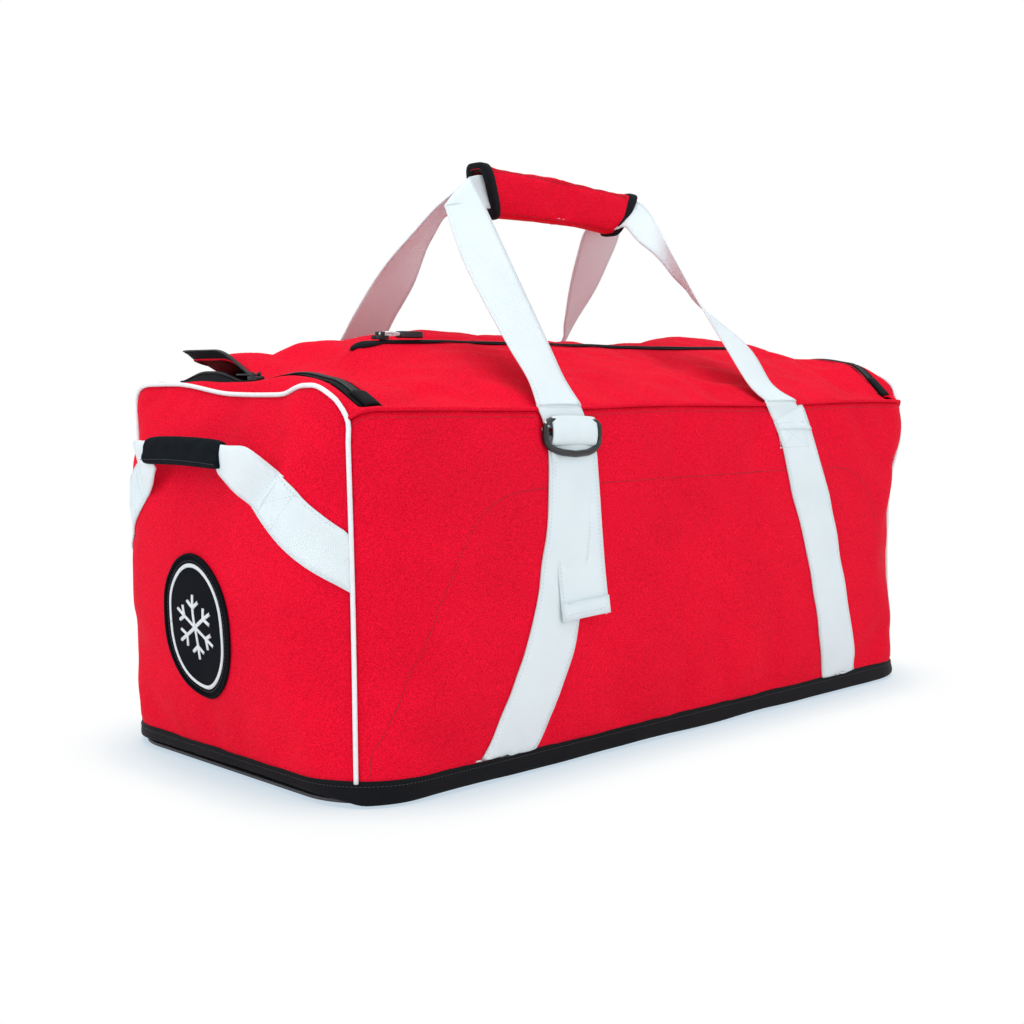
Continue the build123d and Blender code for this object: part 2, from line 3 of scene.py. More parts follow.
import bmesh
import bpy
from mathutils import Matrix, Vector, noise
from mathutils.bvhtree import BVHTree


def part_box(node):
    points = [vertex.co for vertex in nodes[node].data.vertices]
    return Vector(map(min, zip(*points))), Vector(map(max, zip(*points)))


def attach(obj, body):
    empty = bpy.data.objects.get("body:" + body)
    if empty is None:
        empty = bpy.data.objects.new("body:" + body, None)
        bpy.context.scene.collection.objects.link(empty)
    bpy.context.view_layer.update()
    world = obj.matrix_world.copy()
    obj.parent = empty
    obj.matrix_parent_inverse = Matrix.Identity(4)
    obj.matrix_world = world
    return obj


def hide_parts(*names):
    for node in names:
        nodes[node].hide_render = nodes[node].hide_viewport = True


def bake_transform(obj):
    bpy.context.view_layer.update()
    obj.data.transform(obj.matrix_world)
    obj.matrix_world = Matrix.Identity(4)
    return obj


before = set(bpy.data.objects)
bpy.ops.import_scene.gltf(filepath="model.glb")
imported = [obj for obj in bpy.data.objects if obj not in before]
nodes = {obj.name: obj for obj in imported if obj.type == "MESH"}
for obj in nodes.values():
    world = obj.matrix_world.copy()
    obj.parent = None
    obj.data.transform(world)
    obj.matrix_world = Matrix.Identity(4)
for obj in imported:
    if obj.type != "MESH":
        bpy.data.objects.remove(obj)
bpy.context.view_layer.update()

# ---- Camera, floor and studio light -------------------------------------------------
# A backlit white sweep under one broad soft light overhead and a weaker one on each side.
# The room and the sweep look pure white, with only a faint cool shade round the bag's foot, painted into the
# sweep's seen colour from ambient occlusion.

camera_place = Vector((-1.2653, -1.2266, 0.3898))
camera_heading = math.radians(44.27)
camera_dip = math.radians(5.12)
camera_data = bpy.data.cameras.new("camera")
camera_data.sensor_width = 36.0
camera_data.lens = 51.68
camera = bpy.data.objects.new("camera", camera_data)
camera.location = camera_place
camera.rotation_euler = (math.pi / 2 - camera_dip, 0.0, -camera_heading)
bpy.context.scene.collection.objects.link(camera)
bpy.context.scene.camera = camera
bpy.context.scene.view_settings.view_transform = "Standard"


def linear_colour(code):
    """Turns an sRGB hex colour into the linear colour that a shader socket takes."""
    parts = [int(code[i:i + 2], 16) / 255 for i in (1, 3, 5)]
    return (*[p / 12.92 if p <= 0.04045 else ((p + 0.055) / 1.055) ** 2.4 for p in parts], 1.0)


def add_node(tree, kind, settings=None, **inputs):
    """Adds a node to a tree, with its settings and its inputs: numbers, colours or links."""
    node = tree.nodes.new(kind)
    for name, value in (settings or {}).items():
        setattr(node, name, value)
    for name, value in inputs.items():
        key = int(name[1:]) if name[0] == "_" and name[1:].isdigit() else name.replace("_", " ")
        if isinstance(value, bpy.types.NodeSocket):
            tree.links.new(value, node.inputs[key])
        else:
            node.inputs[key].default_value = value
    return node


def new_material(name):
    """An empty material and its node tree."""
    material = bpy.data.materials.new(name)
    material.use_nodes = True
    material.node_tree.nodes.clear()
    return material, material.node_tree


def mesh_object(name, vertices, faces, material=None, smooth=True):
    """An object at the origin, whose place is in its mesh."""
    mesh = bpy.data.meshes.new(name)
    mesh.from_pydata([tuple(v) for v in vertices], [], faces)
    mesh.update()
    made = bpy.data.objects.new(name, mesh)
    bpy.context.scene.collection.objects.link(made)
    if material:
        mesh.materials.append(material)
    if smooth:
        mesh.shade_smooth()
    return made


floor_paper, tree = new_material("matt_studio_paper")
paper = add_node(tree, "ShaderNodeBsdfPrincipled", Base_Color=linear_colour("#F6F7F8"), Roughness=0.55)
# Painted shade: ambient occlusion near the bag turns the sweep's seen colour a cool grey round its foot.
open_sky = add_node(tree, "ShaderNodeAmbientOcclusion", {"samples": 8}, Distance=0.10).outputs["AO"]
painted_foot_shade = add_node(tree, "ShaderNodeMix", {"data_type": "RGBA"}, _0=add_node(
    tree, "ShaderNodeMapRange", Value=open_sky, From_Min=0.30, From_Max=0.92).outputs[0],
    _6=linear_colour("#C3D2DE"), _7=linear_colour("#FFFFFF")).outputs[2]
backlight = add_node(tree, "ShaderNodeEmission", Color=painted_foot_shade, Strength=1.0)
seen = add_node(tree, "ShaderNodeLightPath").outputs["Is Camera Ray"]
lit_paper = add_node(tree, "ShaderNodeMixShader", _0=seen, _1=paper.outputs[0], _2=backlight.outputs[0])
add_node(tree, "ShaderNodeOutputMaterial", Surface=lit_paper.outputs[0])
floor_reach = 9.0
floor_corners = [(x * floor_reach, y * floor_reach, 0.0) for x, y in ((-1, -1), (1, -1), (1, 1), (-1, 1))]
floor = mesh_object("studio_floor", floor_corners, [(0, 1, 2, 3)], floor_paper, smooth=False)

room = bpy.data.worlds.new("white_room")
room.use_nodes = True
room.node_tree.nodes.clear()
glow = add_node(room.node_tree, "ShaderNodeBackground", Color=linear_colour("#FFFFFF"), Strength=0.72)
wall = add_node(room.node_tree, "ShaderNodeBackground", Color=linear_colour("#FFFFFF"), Strength=1.0)
seen = add_node(room.node_tree, "ShaderNodeLightPath").outputs["Is Camera Ray"]
both = add_node(room.node_tree, "ShaderNodeMixShader", _0=seen, _1=glow.outputs[0], _2=wall.outputs[0])
add_node(room.node_tree, "ShaderNodeOutputWorld", Surface=both.outputs[0])
bpy.context.scene.world = room

for lamp_name, place, size, power in (
    ("overhead_softbox", (-0.5, -0.3, 2.6), 2.6, 36.0),
    ("left_softbox", (-2.6, 0.1, 1.3), 1.6, 19.0),
    ("front_softbox", (0.7, -2.6, 1.2), 1.8, 16.0),
):
    lamp_data = bpy.data.lights.new(lamp_name, "AREA")
    lamp_data.size = size
    lamp_data.energy = power
    lamp = bpy.data.objects.new(lamp_name, lamp_data)
    lamp.location = place
    lamp.rotation_euler = (Vector((0.0, 0.0, 0.25)) - lamp.location).to_track_quat("-Z", "Y").to_euler()
    bpy.context.scene.collection.objects.link(lamp)

# ---- Red body: side and end panels --------------------------------------------------
# Four panels of heavy solution-dyed polyester, PU-coated inside, sewn round the corners
# of the base. The bag is stuffed, so the ends belly out and the sides only a little.

thread_pitch = 0.0011


def fabric(name, light, dark, sheen, backing=False, speck=1.0, rough=0.82):
    """Woven polyester: crossing yarns of two shades, with a fleck where they differ."""
    material, tree = new_material(name)
    place = add_node(tree, "ShaderNodeTexCoord").outputs["Object"]
    fleck = add_node(tree, "ShaderNodeTexNoise", Vector=place, Scale=0.85 / thread_pitch,
                     Detail=3.0, Roughness=0.7).outputs[0]
    cloud = add_node(tree, "ShaderNodeTexNoise", Vector=place, Scale=9.0, Detail=3.0).outputs[0]
    slub = add_node(tree, "ShaderNodeMapping", Vector=place, Scale=(420.0, 420.0, 1900.0)).outputs[0]
    yarn = add_node(tree, "ShaderNodeTexNoise", Vector=slub, Scale=1.0, Detail=1.0).outputs[0]
    both = add_node(tree, "ShaderNodeMath", {"operation": "MULTIPLY_ADD"},
                    _0=fleck, _1=0.72, _2=add_node(tree, "ShaderNodeMath", {"operation": "MULTIPLY"},
                                                   _0=yarn, _1=0.28).outputs[0]).outputs[0]
    ramp = add_node(tree, "ShaderNodeValToRGB", Fac=both)
    ramp.color_ramp.elements[0].position = 0.5 - 0.12 / speck
    ramp.color_ramp.elements[1].position = 0.5 + 0.12 / speck
    ramp.color_ramp.elements[0].color = linear_colour(dark)
    ramp.color_ramp.elements[1].color = linear_colour(light)
    shade = add_node(tree, "ShaderNodeMapRange", Value=cloud, From_Min=0.3, From_Max=0.7,
                     To_Min=0.94, To_Max=1.05).outputs[0]
    tone = add_node(tree, "ShaderNodeHueSaturation", Color=ramp.outputs[0], Value=shade).outputs[0]
    bump = add_node(tree, "ShaderNodeBump", Height=both, Strength=0.35, Distance=0.0006).outputs[0]
    rough_map = add_node(tree, "ShaderNodeMapRange", Value=both, To_Min=rough + 0.08,
                         To_Max=rough - 0.08).outputs[0]
    cloth_shader = add_node(
        tree, "ShaderNodeBsdfPrincipled", Base_Color=tone, Roughness=rough_map, Normal=bump,
        Specular_IOR_Level=0.4 if backing else 0.08, Sheen_Weight=sheen, Sheen_Roughness=0.4,
    )
    cloth_shader.inputs["Sheen Tint"].default_value = linear_colour(light)
    add_node(tree, "ShaderNodeOutputMaterial", Surface=cloth_shader.outputs[0])
    return material


red_polyester = fabric("heathered_red_polyester", "#EE1033", "#BC0120", 0.05)
red_backing = fabric("red_pu_coated_backing", "#A81224", "#8E0A1A", 0.0, backing=True, speck=0.4)
cloth_thickness = 0.0022

base_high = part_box("base_panel")[1]
half_length = base_high.x
half_width = base_high.y
band_top = base_high.z
corner_radius = 0.080
seam_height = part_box("front_panel")[1].z
deck_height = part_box("left_end_panel")[1].z
corner_x = half_length - corner_radius
corner_y = half_width - corner_radius
step = 0.0105
wall_rows = 34
end_belly = 0.024
side_belly = 0.007
top_pull = 0.018


def ease(value):
    """Smooth step from 0 to 1."""
    value = min(max(value, 0.0), 1.0)
    return value * value * (3 - 2 * value)


def plan_loop():
    """Points round the body's plan from the front left seam, each with its outward
    direction, its panel and its share of the way across that panel."""
    loop = []
    arc = math.ceil(corner_radius * math.pi / 4 / step)
    for turn, panel in enumerate(("front_panel", "right_end_panel", "rear_panel", "left_end_panel")):
        straight = 2 * (corner_x if turn % 2 == 0 else corner_y)
        runs = math.ceil(straight / step)
        reach = half_width if turn % 2 == 0 else half_length
        along = Matrix.Rotation(turn * math.pi / 2, 3, "Z") @ Vector((1, 0, 0))
        out = Matrix.Rotation(turn * math.pi / 2, 3, "Z") @ Vector((0, -1, 0))
        length = straight + 2 * corner_radius * math.pi / 4
        for i in range(2 * arc + runs):
            if i < arc:
                angle = math.pi / 4 * (1 - i / arc)
                far = i / arc * corner_radius * math.pi / 4
            elif i < arc + runs:
                angle = 0.0
                far = corner_radius * math.pi / 4 + (i - arc) / runs * straight
            else:
                angle = -math.pi / 4 * (i - arc - runs) / arc
                far = length - corner_radius * math.pi / 4 * (1 - (i - arc - runs) / arc)
            middle = min(max((i - arc) / runs, 0.0), 1.0)
            centre = along * straight * (middle - 0.5) + out * (reach - corner_radius)
            normal = out * math.cos(angle) - along * math.sin(angle)
            loop.append((centre + normal * corner_radius, normal, panel, 2 * far / length - 1))
    return loop


seam_corner_x = corner_x + corner_radius * math.sin(math.pi / 4)
seam_corner_y = corner_y + corner_radius * math.sin(math.pi / 4)
corner_top = seam_height - 0.010
end_rise = {"left_end_panel": 0.0315, "right_end_panel": 0.0450}


def top_edge(panel, point):
    """Height of a panel's top edge: level on the sides, humped over the ends."""
    wave = 0.0012 * math.sin(point.x * 17 + point.y * 23 + 1.0)
    if "end" in panel:
        t = min(max((seam_corner_y - abs(point.y)) / 0.046, 0.0), 1.0)
        dip = 0.0075 * ease((point.y + 0.125) / 0.04) * ease((0.10 - point.y) / 0.10)
        return corner_top + end_rise[panel] * math.sqrt(1 - (1 - t) ** 2) - dip + wave * t
    return seam_height - 0.001 - 0.009 * ease((abs(point.x) - seam_corner_x + 0.012) / 0.012) + wave


def belly(panel, share, height, point):
    """How far the stuffed cloth stands out from the plan, and is drawn in at the top."""
    across = 1 - abs(share) ** 2.4
    upright = math.sin(math.pi * min(max(height, 0.0), 1.0)) ** 0.75
    if "end" in panel:
        out = end_belly * across * upright - top_pull * across * ease((height - 0.72) / 0.28)
    else:
        out = side_belly * across * upright * (1 + 0.3 * math.sin(point.x * 14))
    fold = noise.noise(Vector((point.x * 13 + height * 5, point.y * 13 - height * 6,
                               height * 4 + point.x * 5)))
    pleat = noise.noise(Vector((point.x * 34 - height * 9, point.y * 34 + height * 9, height * 7)))
    wrinkle = 0.0034 * fold + 0.0016 * pleat * ease((height - 0.45) / 0.4)
    out += wrinkle * across ** 0.4 * min(upright * 1.3, 1.0)
    waist = -0.007 * abs(share) ** 6 * math.sin(math.pi * height) ** 1.4
    return out + waist


plan = plan_loop()
columns = len(plan)
right_seam = next(c for c, (_, _, panel, _) in enumerate(plan) if panel == "right_end_panel")
wall_points = []
for column, (point, normal, panel, share) in enumerate(plan):
    rim = top_edge(panel, point)
    for row in range(wall_rows + 1):
        height = row / wall_rows
        place = point + normal * belly(panel, share, height, point)
        along = Vector((-normal.y, normal.x, 0))
        lean = ease(1 - min(column, columns - column) * step / 0.07)
        full = ease(1 - abs(column - right_seam) * step / 0.09)
        place -= along * lean * (0.0045 + 0.0045 * height)
        place += normal * full * 0.009 * math.exp(-((height - 0.90) / 0.12) ** 2)
        wall_points.append(Vector((place.x, place.y, band_top - 0.002 + (rim - band_top + 0.002) * height)))
wall_faces = []
for column in range(columns):
    beside = (column + 1) % columns
    for row in range(wall_rows):
        a, b = column * (wall_rows + 1) + row, beside * (wall_rows + 1) + row
        wall_faces.append((a, b, b + 1, a + 1))


def settle(made, held, growth, pressure, stiffness, limit, frames=20, gravity=0.0):
    """Lets a cloth mesh settle from its drawn shape, then keeps each point within a limit."""
    rest = [v.co.copy() for v in made.data.vertices]
    group = made.vertex_groups.new(name="held")
    for index, weight in held.items():
        group.add([index], weight, "REPLACE")
    cloth = made.modifiers.new("cloth", "CLOTH")
    cloth.settings.quality = 6
    cloth.settings.mass = 0.35
    cloth.settings.tension_stiffness = 25
    cloth.settings.compression_stiffness = 25
    cloth.settings.shear_stiffness = 8
    cloth.settings.bending_stiffness = stiffness
    cloth.settings.shrink_min = -growth
    cloth.settings.use_pressure = True
    cloth.settings.uniform_pressure_force = pressure
    cloth.settings.vertex_group_mass = "held"
    cloth.settings.effector_weights.gravity = gravity
    cloth.collision_settings.use_collision = False
    for number in range(1, frames + 1):
        bpy.context.scene.frame_set(number)
    shaped = made.evaluated_get(bpy.context.evaluated_depsgraph_get())
    moved = [v.co.copy() for v in shaped.data.vertices]
    made.modifiers.remove(cloth)
    made.vertex_groups.remove(group)
    for vertex, start, end in zip(made.data.vertices, rest, moved):
        shift = end - start
        far = shift.length
        vertex.co = start + (shift * (limit * math.tanh(far / limit) / far) if far > 1e-9 else shift)
    bpy.context.scene.frame_set(1)


walls = mesh_object("walls", wall_points, wall_faces)
held = {}
for column, (point, normal, panel, share) in enumerate(plan):
    for row in range(wall_rows + 1):
        on_seam = abs(share) > 0.995
        if on_seam or row in (0, wall_rows):
            held[column * (wall_rows + 1) + row] = 1.0
settle(walls, held, growth=0.012, pressure=1.2, stiffness=6.0, limit=0.007)
wall_shape = [v.co.copy() for v in walls.data.vertices]
bpy.data.objects.remove(walls)

panel_columns = {}
for column, (point, normal, panel, share) in enumerate(plan):
    panel_columns.setdefault(panel, []).append(column)


def thicken(made, thickness, backing=None, outward=False):
    """Gives a cloth sheet its thickness, with its inner face in the backing material."""
    if backing:
        made.data.materials.append(backing)
    solid = made.modifiers.new("thickness", "SOLIDIFY")
    solid.thickness = thickness
    solid.offset = 1.0 if outward else -1.0
    solid.material_offset = 1 if backing else 0
    return solid


def bake(made):
    """Turns an object and its modifiers into one plain mesh."""
    shaped = made.evaluated_get(bpy.context.evaluated_depsgraph_get())
    mesh = bpy.data.meshes.new_from_object(shaped)
    made.modifiers.clear()
    made.data = mesh
    return made


def smooth_once(made):
    """Rounds a mesh with one level of subdivision."""
    smoothing = made.modifiers.new("smooth", "SUBSURF")
    smoothing.levels = smoothing.render_levels = 1


def surface_tree(made):
    """A mesh's faces in a form that rays can be cast on."""
    return BVHTree.FromPolygons([v.co.copy() for v in made.data.vertices],
                                [tuple(p.vertices) for p in made.data.polygons])


panel_trees = {}
for panel, own in panel_columns.items():
    own = own + [(own[-1] + 1) % columns]
    points = [wall_shape[c * (wall_rows + 1) + r] for c in own for r in range(wall_rows + 1)]
    faces = []
    for i in range(len(own) - 1):
        for r in range(wall_rows):
            a, b = i * (wall_rows + 1) + r, (i + 1) * (wall_rows + 1) + r
            faces.append((a, b, b + 1, a + 1))
    made = mesh_object(f"{panel}_cloth", points, faces, red_polyester)
    smooth_once(made)
    bake(made)
    panel_trees[panel] = surface_tree(made)
    thicken(made, cloth_thickness, red_backing)
    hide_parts(panel)
    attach(made, "shell")


# ---- Black base band and its stiffener board ----------------------------------------
# Vinyl-coated polyester, cut as one tray whose wall stands a thumb's width up the bag and
# is sewn over the foot of the red panels. A plastic board lies inside it.

coated_black, tree = new_material("black_vinyl_coated_polyester")
place = add_node(tree, "ShaderNodeTexCoord").outputs["Object"]
grain = add_node(tree, "ShaderNodeTexNoise", Vector=place, Scale=700.0, Detail=2.0).outputs[0]
scuff = add_node(tree, "ShaderNodeTexNoise", Vector=place, Scale=24.0, Detail=4.0).outputs[0]
shade = add_node(tree, "ShaderNodeMix", {"data_type": "RGBA"}, _0=scuff,
                 _6=linear_colour("#030509"), _7=linear_colour("#0A0E14")).outputs[2]
gloss = add_node(tree, "ShaderNodeMapRange", Value=scuff, To_Min=0.50, To_Max=0.68).outputs[0]
bump = add_node(tree, "ShaderNodeBump", Height=grain, Strength=0.3, Distance=0.0004).outputs[0]
shader = add_node(tree, "ShaderNodeBsdfPrincipled", Base_Color=shade, Roughness=gloss, Normal=bump,
                  Specular_IOR_Level=0.12)
add_node(tree, "ShaderNodeOutputMaterial", Surface=shader.outputs[0])

band_rings = ((-0.045, 0.0012), (-0.016, 0.0006), (-0.005, 0.0004), (-0.0012, 0.0022), (0.0004, 0.006),
              (0.0012, 0.012), (0.0014, 0.019), (0.0010, 0.0245), (-0.0006, 0.0262), (-0.0026, 0.0250))
band_points = []
for out, height in band_rings:
    for column, (point, normal, panel, share) in enumerate(plan):
        lift = 0.0016 * (1 + noise.noise(Vector((point.x * 9, point.y * 9, 0.3))))
        foot = ease(1 - height / 0.012)
        rise = foot * lift * ease((out + 0.02) / 0.02)
        sway = 0.0011 * noise.noise(Vector((point.x * 22, point.y * 22, height * 40)))
        sway += 0.006 * abs(share) ** 14 * ease(1 - height / 0.024)
        rise += foot * 0.009 * (1 - abs(share) ** 5) if panel == "left_end_panel" else 0.0
        band_points.append(point + normal * (out + sway) + Vector((0, 0, height + rise)))
band_faces = []
for ring in range(len(band_rings) - 1):
    for column in range(columns):
        beside = (column + 1) % columns
        a, b = ring * columns + column, ring * columns + beside
        band_faces.append((a, b, b + columns, a + columns))
base_band = mesh_object("base_band", band_points, band_faces, coated_black)
smooth_once(base_band)
bake(base_band)
shape = bmesh.new()
shape.from_mesh(base_band.data)
open_edges = [e for e in shape.edges if e.is_boundary and e.verts[0].co.z < 0.010]
bmesh.ops.edgeloop_fill(shape, edges=open_edges)
bmesh.ops.recalc_face_normals(shape, faces=shape.faces)
shape.to_mesh(base_band.data)
shape.free()
for vertex in base_band.data.vertices:
    vertex.co.z = max(vertex.co.z, 0.0002)
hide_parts("base_panel")
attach(base_band, "shell")


def grained_finish(name, dark, light, scale, detail, bump=None, gloss=None, **surface):
    """One colour with a fine grain in it, which may also stand up and change the gloss."""
    material, tree = new_material(name)
    place = add_node(tree, "ShaderNodeTexCoord").outputs["Object"]
    grain = add_node(tree, "ShaderNodeTexNoise", Vector=place, Scale=scale, Detail=detail).outputs[0]
    shade = add_node(tree, "ShaderNodeMix", {"data_type": "RGBA"}, _0=grain,
                     _6=linear_colour(dark), _7=linear_colour(light)).outputs[2]
    if gloss:
        surface["Roughness"] = add_node(tree, "ShaderNodeMapRange", Value=grain, To_Min=gloss[0],
                                        To_Max=gloss[1]).outputs[0]
    if bump:
        surface["Normal"] = add_node(tree, "ShaderNodeBump", Height=grain, Strength=bump[0],
                                     Distance=bump[1]).outputs[0]
    shader = add_node(tree, "ShaderNodeBsdfPrincipled", Base_Color=shade, **surface)
    add_node(tree, "ShaderNodeOutputMaterial", Surface=shader.outputs[0])
    return material


stiffener = grained_finish("grey_polypropylene_board", "#2B2E33", "#3A3E44", 260.0, 2.0, (0.4, 0.0005),
                           Roughness=0.5)
nodes["base_board"].data.materials.clear()
nodes["base_board"].data.materials.append(stiffener)

# ---- White piping round the ends, red cord along the top seams ----------------------
# Piping: a cord wrapped in white coated tape, sewn into the seam that runs up one corner,
# over the end and down the other. The long top seams hold a thinner red one.

pipe_radius = 0.0023
cord_radius = 0.0021


def spline(points, parts):
    """A smooth curve through places, with a set number of parts in each span."""
    points = [Vector(p) for p in points]
    ends = [points[0] * 2 - points[1]] + points + [points[-1] * 2 - points[-2]]
    fine = []
    for i, count in enumerate(parts):
        a, b, c, d = ends[i:i + 4]
        for k in range(count):
            t = k / count
            fine.append(0.5 * ((2 * b) + (c - a) * t + (2 * a - 5 * b + 4 * c - d) * t * t
                               + (3 * b - a - 3 * c + d) * t ** 3))
    return fine + [points[-1]]


def smooth_path(points, spacing):
    """Evenly spaced points on a smooth curve through the given ones."""
    points = [Vector(p) for p in points]
    parts = [max(2, math.ceil((b - a).length / spacing * 3)) for a, b in zip(points, points[1:])]
    fine = spline(points, parts)
    far = [0.0]
    for a, b in zip(fine, fine[1:]):
        far.append(far[-1] + (b - a).length)
    count = max(2, round(far[-1] / spacing))
    even, at = [], 0
    for k in range(count + 1):
        goal = far[-1] * k / count
        while at < len(far) - 2 and far[at + 1] < goal:
            at += 1
        span = max(far[at + 1] - far[at], 1e-9)
        even.append(fine[at].lerp(fine[at + 1], min(max((goal - far[at]) / span, 0.0), 1.0)))
    return even


def tangents(path):
    """Direction of a path at each of its points."""
    last = len(path) - 1
    return [(path[min(i + 1, last)] - path[max(i - 1, 0)]).normalized() for i in range(last + 1)]


def tube(name, path, radius, material, sides=10):
    """A round cord along a path, with closed ends."""
    ways = tangents(path)
    side = ways[0].orthogonal().normalized()
    points, faces = [], []
    for place, way in zip(path, ways):
        side = (side - way * side.dot(way)).normalized()
        other = way.cross(side)
        for k in range(sides):
            turn = 2 * math.pi * k / sides
            points.append(place + side * math.cos(turn) * radius + other * math.sin(turn) * radius)
    for i in range(len(path) - 1):
        for k in range(sides):
            a, b = i * sides + k, i * sides + (k + 1) % sides
            faces.append((a, b, b + sides, a + sides))
    faces.append(tuple(reversed(range(sides))))
    faces.append(tuple(range((len(path) - 1) * sides, len(path) * sides)))
    return mesh_object(name, points, faces, material)


white_vinyl = grained_finish("white_coated_piping_tape", "#D2DAE0", "#E6EBEE", 160.0, 2.0, (0.4, 0.0008),
                             Roughness=0.5)


def top_point(column):
    """Top of a wall column, after the cloth has settled."""
    return wall_shape[column % columns * (wall_rows + 1) + wall_rows]


front_start = 0
right_start = panel_columns["right_end_panel"][0]
rear_start = panel_columns["rear_panel"][0]
left_start = panel_columns["left_end_panel"][0]
for end, first, last in (("left", left_start, columns), ("right", right_start, rear_start)):
    path = []
    for row in range(0, wall_rows - 1, 2):
        path.append(wall_shape[first * (wall_rows + 1) + row] + plan[first][1] * 0.0012)
    for column in range(first, last + 1):
        path.append(top_point(column) + plan[column % columns][1] * 0.0008 + Vector((0, 0, 0.001)))
    for row in reversed(range(0, wall_rows - 1, 2)):
        path.append(wall_shape[last % columns * (wall_rows + 1) + row] + plan[last % columns][1] * 0.0012)
    piping = tube(f"{end}_end_piping", smooth_path(path, 0.006), pipe_radius, white_vinyl, sides=12)
    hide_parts(f"{end}_piping")
    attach(piping, "shell")

for side, first, last in (("front", front_start, right_start), ("rear", rear_start, left_start)):
    path = [top_point(c) + plan[c % columns][1] * 0.0004 + Vector((0, 0, 0.0022))
            for c in range(first, last + 1)]
    cord = tube(f"{side}_top_seam_cord", smooth_path(path, 0.006), cord_radius, red_polyester)
    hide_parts(f"{side}_seam_cord")
    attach(cord, "shell")

# ---- Top borders round the zipped opening -------------------------------------------
# Red strips between the body's top seams and the zip. They join the piping at the ends and
# run into the black binding patches where the zip stops in front.

opening_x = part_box("rear_top_border")[1].x
opening_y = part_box("body_zip_tape")[1].y - 0.0133
opening_radius = 0.047
tape_width = 0.013
zip_front = -0.186
outline_pitch = 0.007


def deck_level(y):
    """Height of the top deck's cloth across the bag."""
    hump = 0.0085 * math.exp(-((y + 0.085) / 0.045) ** 2)
    return deck_height + hump - 0.027 * ease((-0.132 - y) / 0.078) - 0.022 * ease((y - 0.170) / 0.045)


def swell(x, y):
    """How far the right end of the top is pushed up by what is inside."""
    return 0.021 * ease((x - 0.33) / 0.08) * ease((y + 0.205) / 0.07) * (1 - 0.6 * ease((y - 0.08) / 0.08))


def corner_lift(x, y):
    """How far the unzipped left rear corner of the lid stands open."""
    return 0.024 * ease((y + 0.02) / 0.09) * ease((-0.295 - x) / 0.12)


def zip_outline(grow, front=zip_front):
    """Points along the zip, from its left front end round to its right front end."""
    reach = opening_radius + grow
    side_x, centre_x = opening_x + grow, opening_x - opening_radius
    centre_y = opening_y - opening_radius
    side_count = round((centre_y - front) / outline_pitch)
    arc_count = 12
    rear_count = round(2 * centre_x / outline_pitch)
    left = [Vector((-side_x, front + (centre_y - front) * i / side_count, 0)) for i in range(side_count)]
    left += [Vector((-centre_x - reach * math.cos(a), centre_y + reach * math.sin(a), 0))
             for a in (math.pi / 2 * i / arc_count for i in range(arc_count))]
    half = [Vector((-centre_x + 2 * centre_x * i / rear_count, centre_y + reach, 0))
            for i in range(rear_count // 2 + 1)]
    whole = left + half
    return whole + [Vector((-p.x, p.y, 0)) for p in reversed(whole[:-1])]


def nearest_on(path, point):
    """Nearest place to a point on a path, seen from above."""
    best, best_far = None, 1e9
    for a, b in zip(path, path[1:]):
        run = b - a
        t = min(max((point - a).dot(run) / max(run.length_squared, 1e-12), 0.0), 1.0)
        place = a + run * t
        far = (point - place).length
        if far < best_far:
            best, best_far = place, far
    return best


def face_towards(made, way):
    """Turns a sheet's faces over if they look away from a direction."""
    if sum(p.normal.dot(way) * p.area for p in made.data.polygons) < 0:
        made.data.flip_normals()


up = Vector((0, 0, 1))
tape_level = 0.0026
border_edge = zip_outline(tape_width - 0.001)
border_edge = ([Vector((-opening_x + tape_width, zip_front, 0))] + border_edge
               + [Vector((opening_x - tape_width, zip_front, 0))])
border_rows = 6
front_edge_x = opening_x - tape_width
front_left = [c for c in range(front_start, right_start) if plan[c][0].x < -front_edge_x]
front_right = [c for c in range(front_start, right_start) if plan[c][0].x > front_edge_x]
border_runs = (
    ("left_top_border", list(reversed(front_left)) + list(range(columns - 1, left_start - 1, -1))),
    ("rear_top_border", list(range(left_start, rear_start - 1, -1))),
    ("right_top_border", list(range(rear_start, right_start - 1, -1)) + list(reversed(front_right))),
)
for label, run in border_runs:
    points, faces = [], []
    for column in run:
        outer = top_point(column) + Vector((0, 0, 0.0005))
        flat = Vector((outer.x, outer.y, 0))
        inner = nearest_on(border_edge, flat)
        rim = deck_level(inner.y) + tape_level - 0.0012 + swell(inner.x, inner.y)
        for k in range(border_rows + 1):
            t = k / border_rows
            place = flat.lerp(inner, t)
            puff = 0.0032 * math.sin(math.pi * t) + 0.0025 * noise.noise(place * 26) * math.sin(math.pi * t)
            place.z = outer.z + (rim - outer.z) * math.sin(math.pi / 2 * t) ** 0.85 + puff
            points.append(place)
    for i in range(len(run) - 1):
        for k in range(border_rows):
            a, b = i * (border_rows + 1) + k, (i + 1) * (border_rows + 1) + k
            faces.append((a, a + 1, b + 1, b))
    border = mesh_object(f"{label}_cloth", points, faces, red_polyester)
    smooth_once(border)
    bake(border)
    face_towards(border, up)
    thicken(border, cloth_thickness, red_backing)
    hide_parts(label)
    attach(border, "shell")

# ---- Lid ---------------------------------------------------------------------------- One
# red panel, hinged on the front top seam and held by the zip on its other three sides.

lid_inset = 0.0095
lid_edge_x = opening_x - lid_inset
lid_edge_y = opening_y - lid_inset
crown_y = (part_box("pocket_zip_coil")[0].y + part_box("pocket_zip_coil")[1].y) / 2
crown_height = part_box("lid_panel")[1].z
lid_columns = 100
lid_corner = opening_radius - lid_inset
lid_front_y = -half_width + 0.0012
slit_from, slit_to = -0.36, 0.30
corner_start = opening_y - opening_radius


def lid_rim(x, y):
    """Height of the lid's cloth where it meets the zip."""
    return deck_level(y) + tape_level + 0.0018 + swell(x, y)


def lid_front_edge(x):
    """The lid's front edge: straight along the seam, then round the bag's corners."""
    past = max(abs(x) - corner_x, 0.0)
    return lid_front_y + corner_radius - math.sqrt(corner_radius ** 2 - past ** 2)


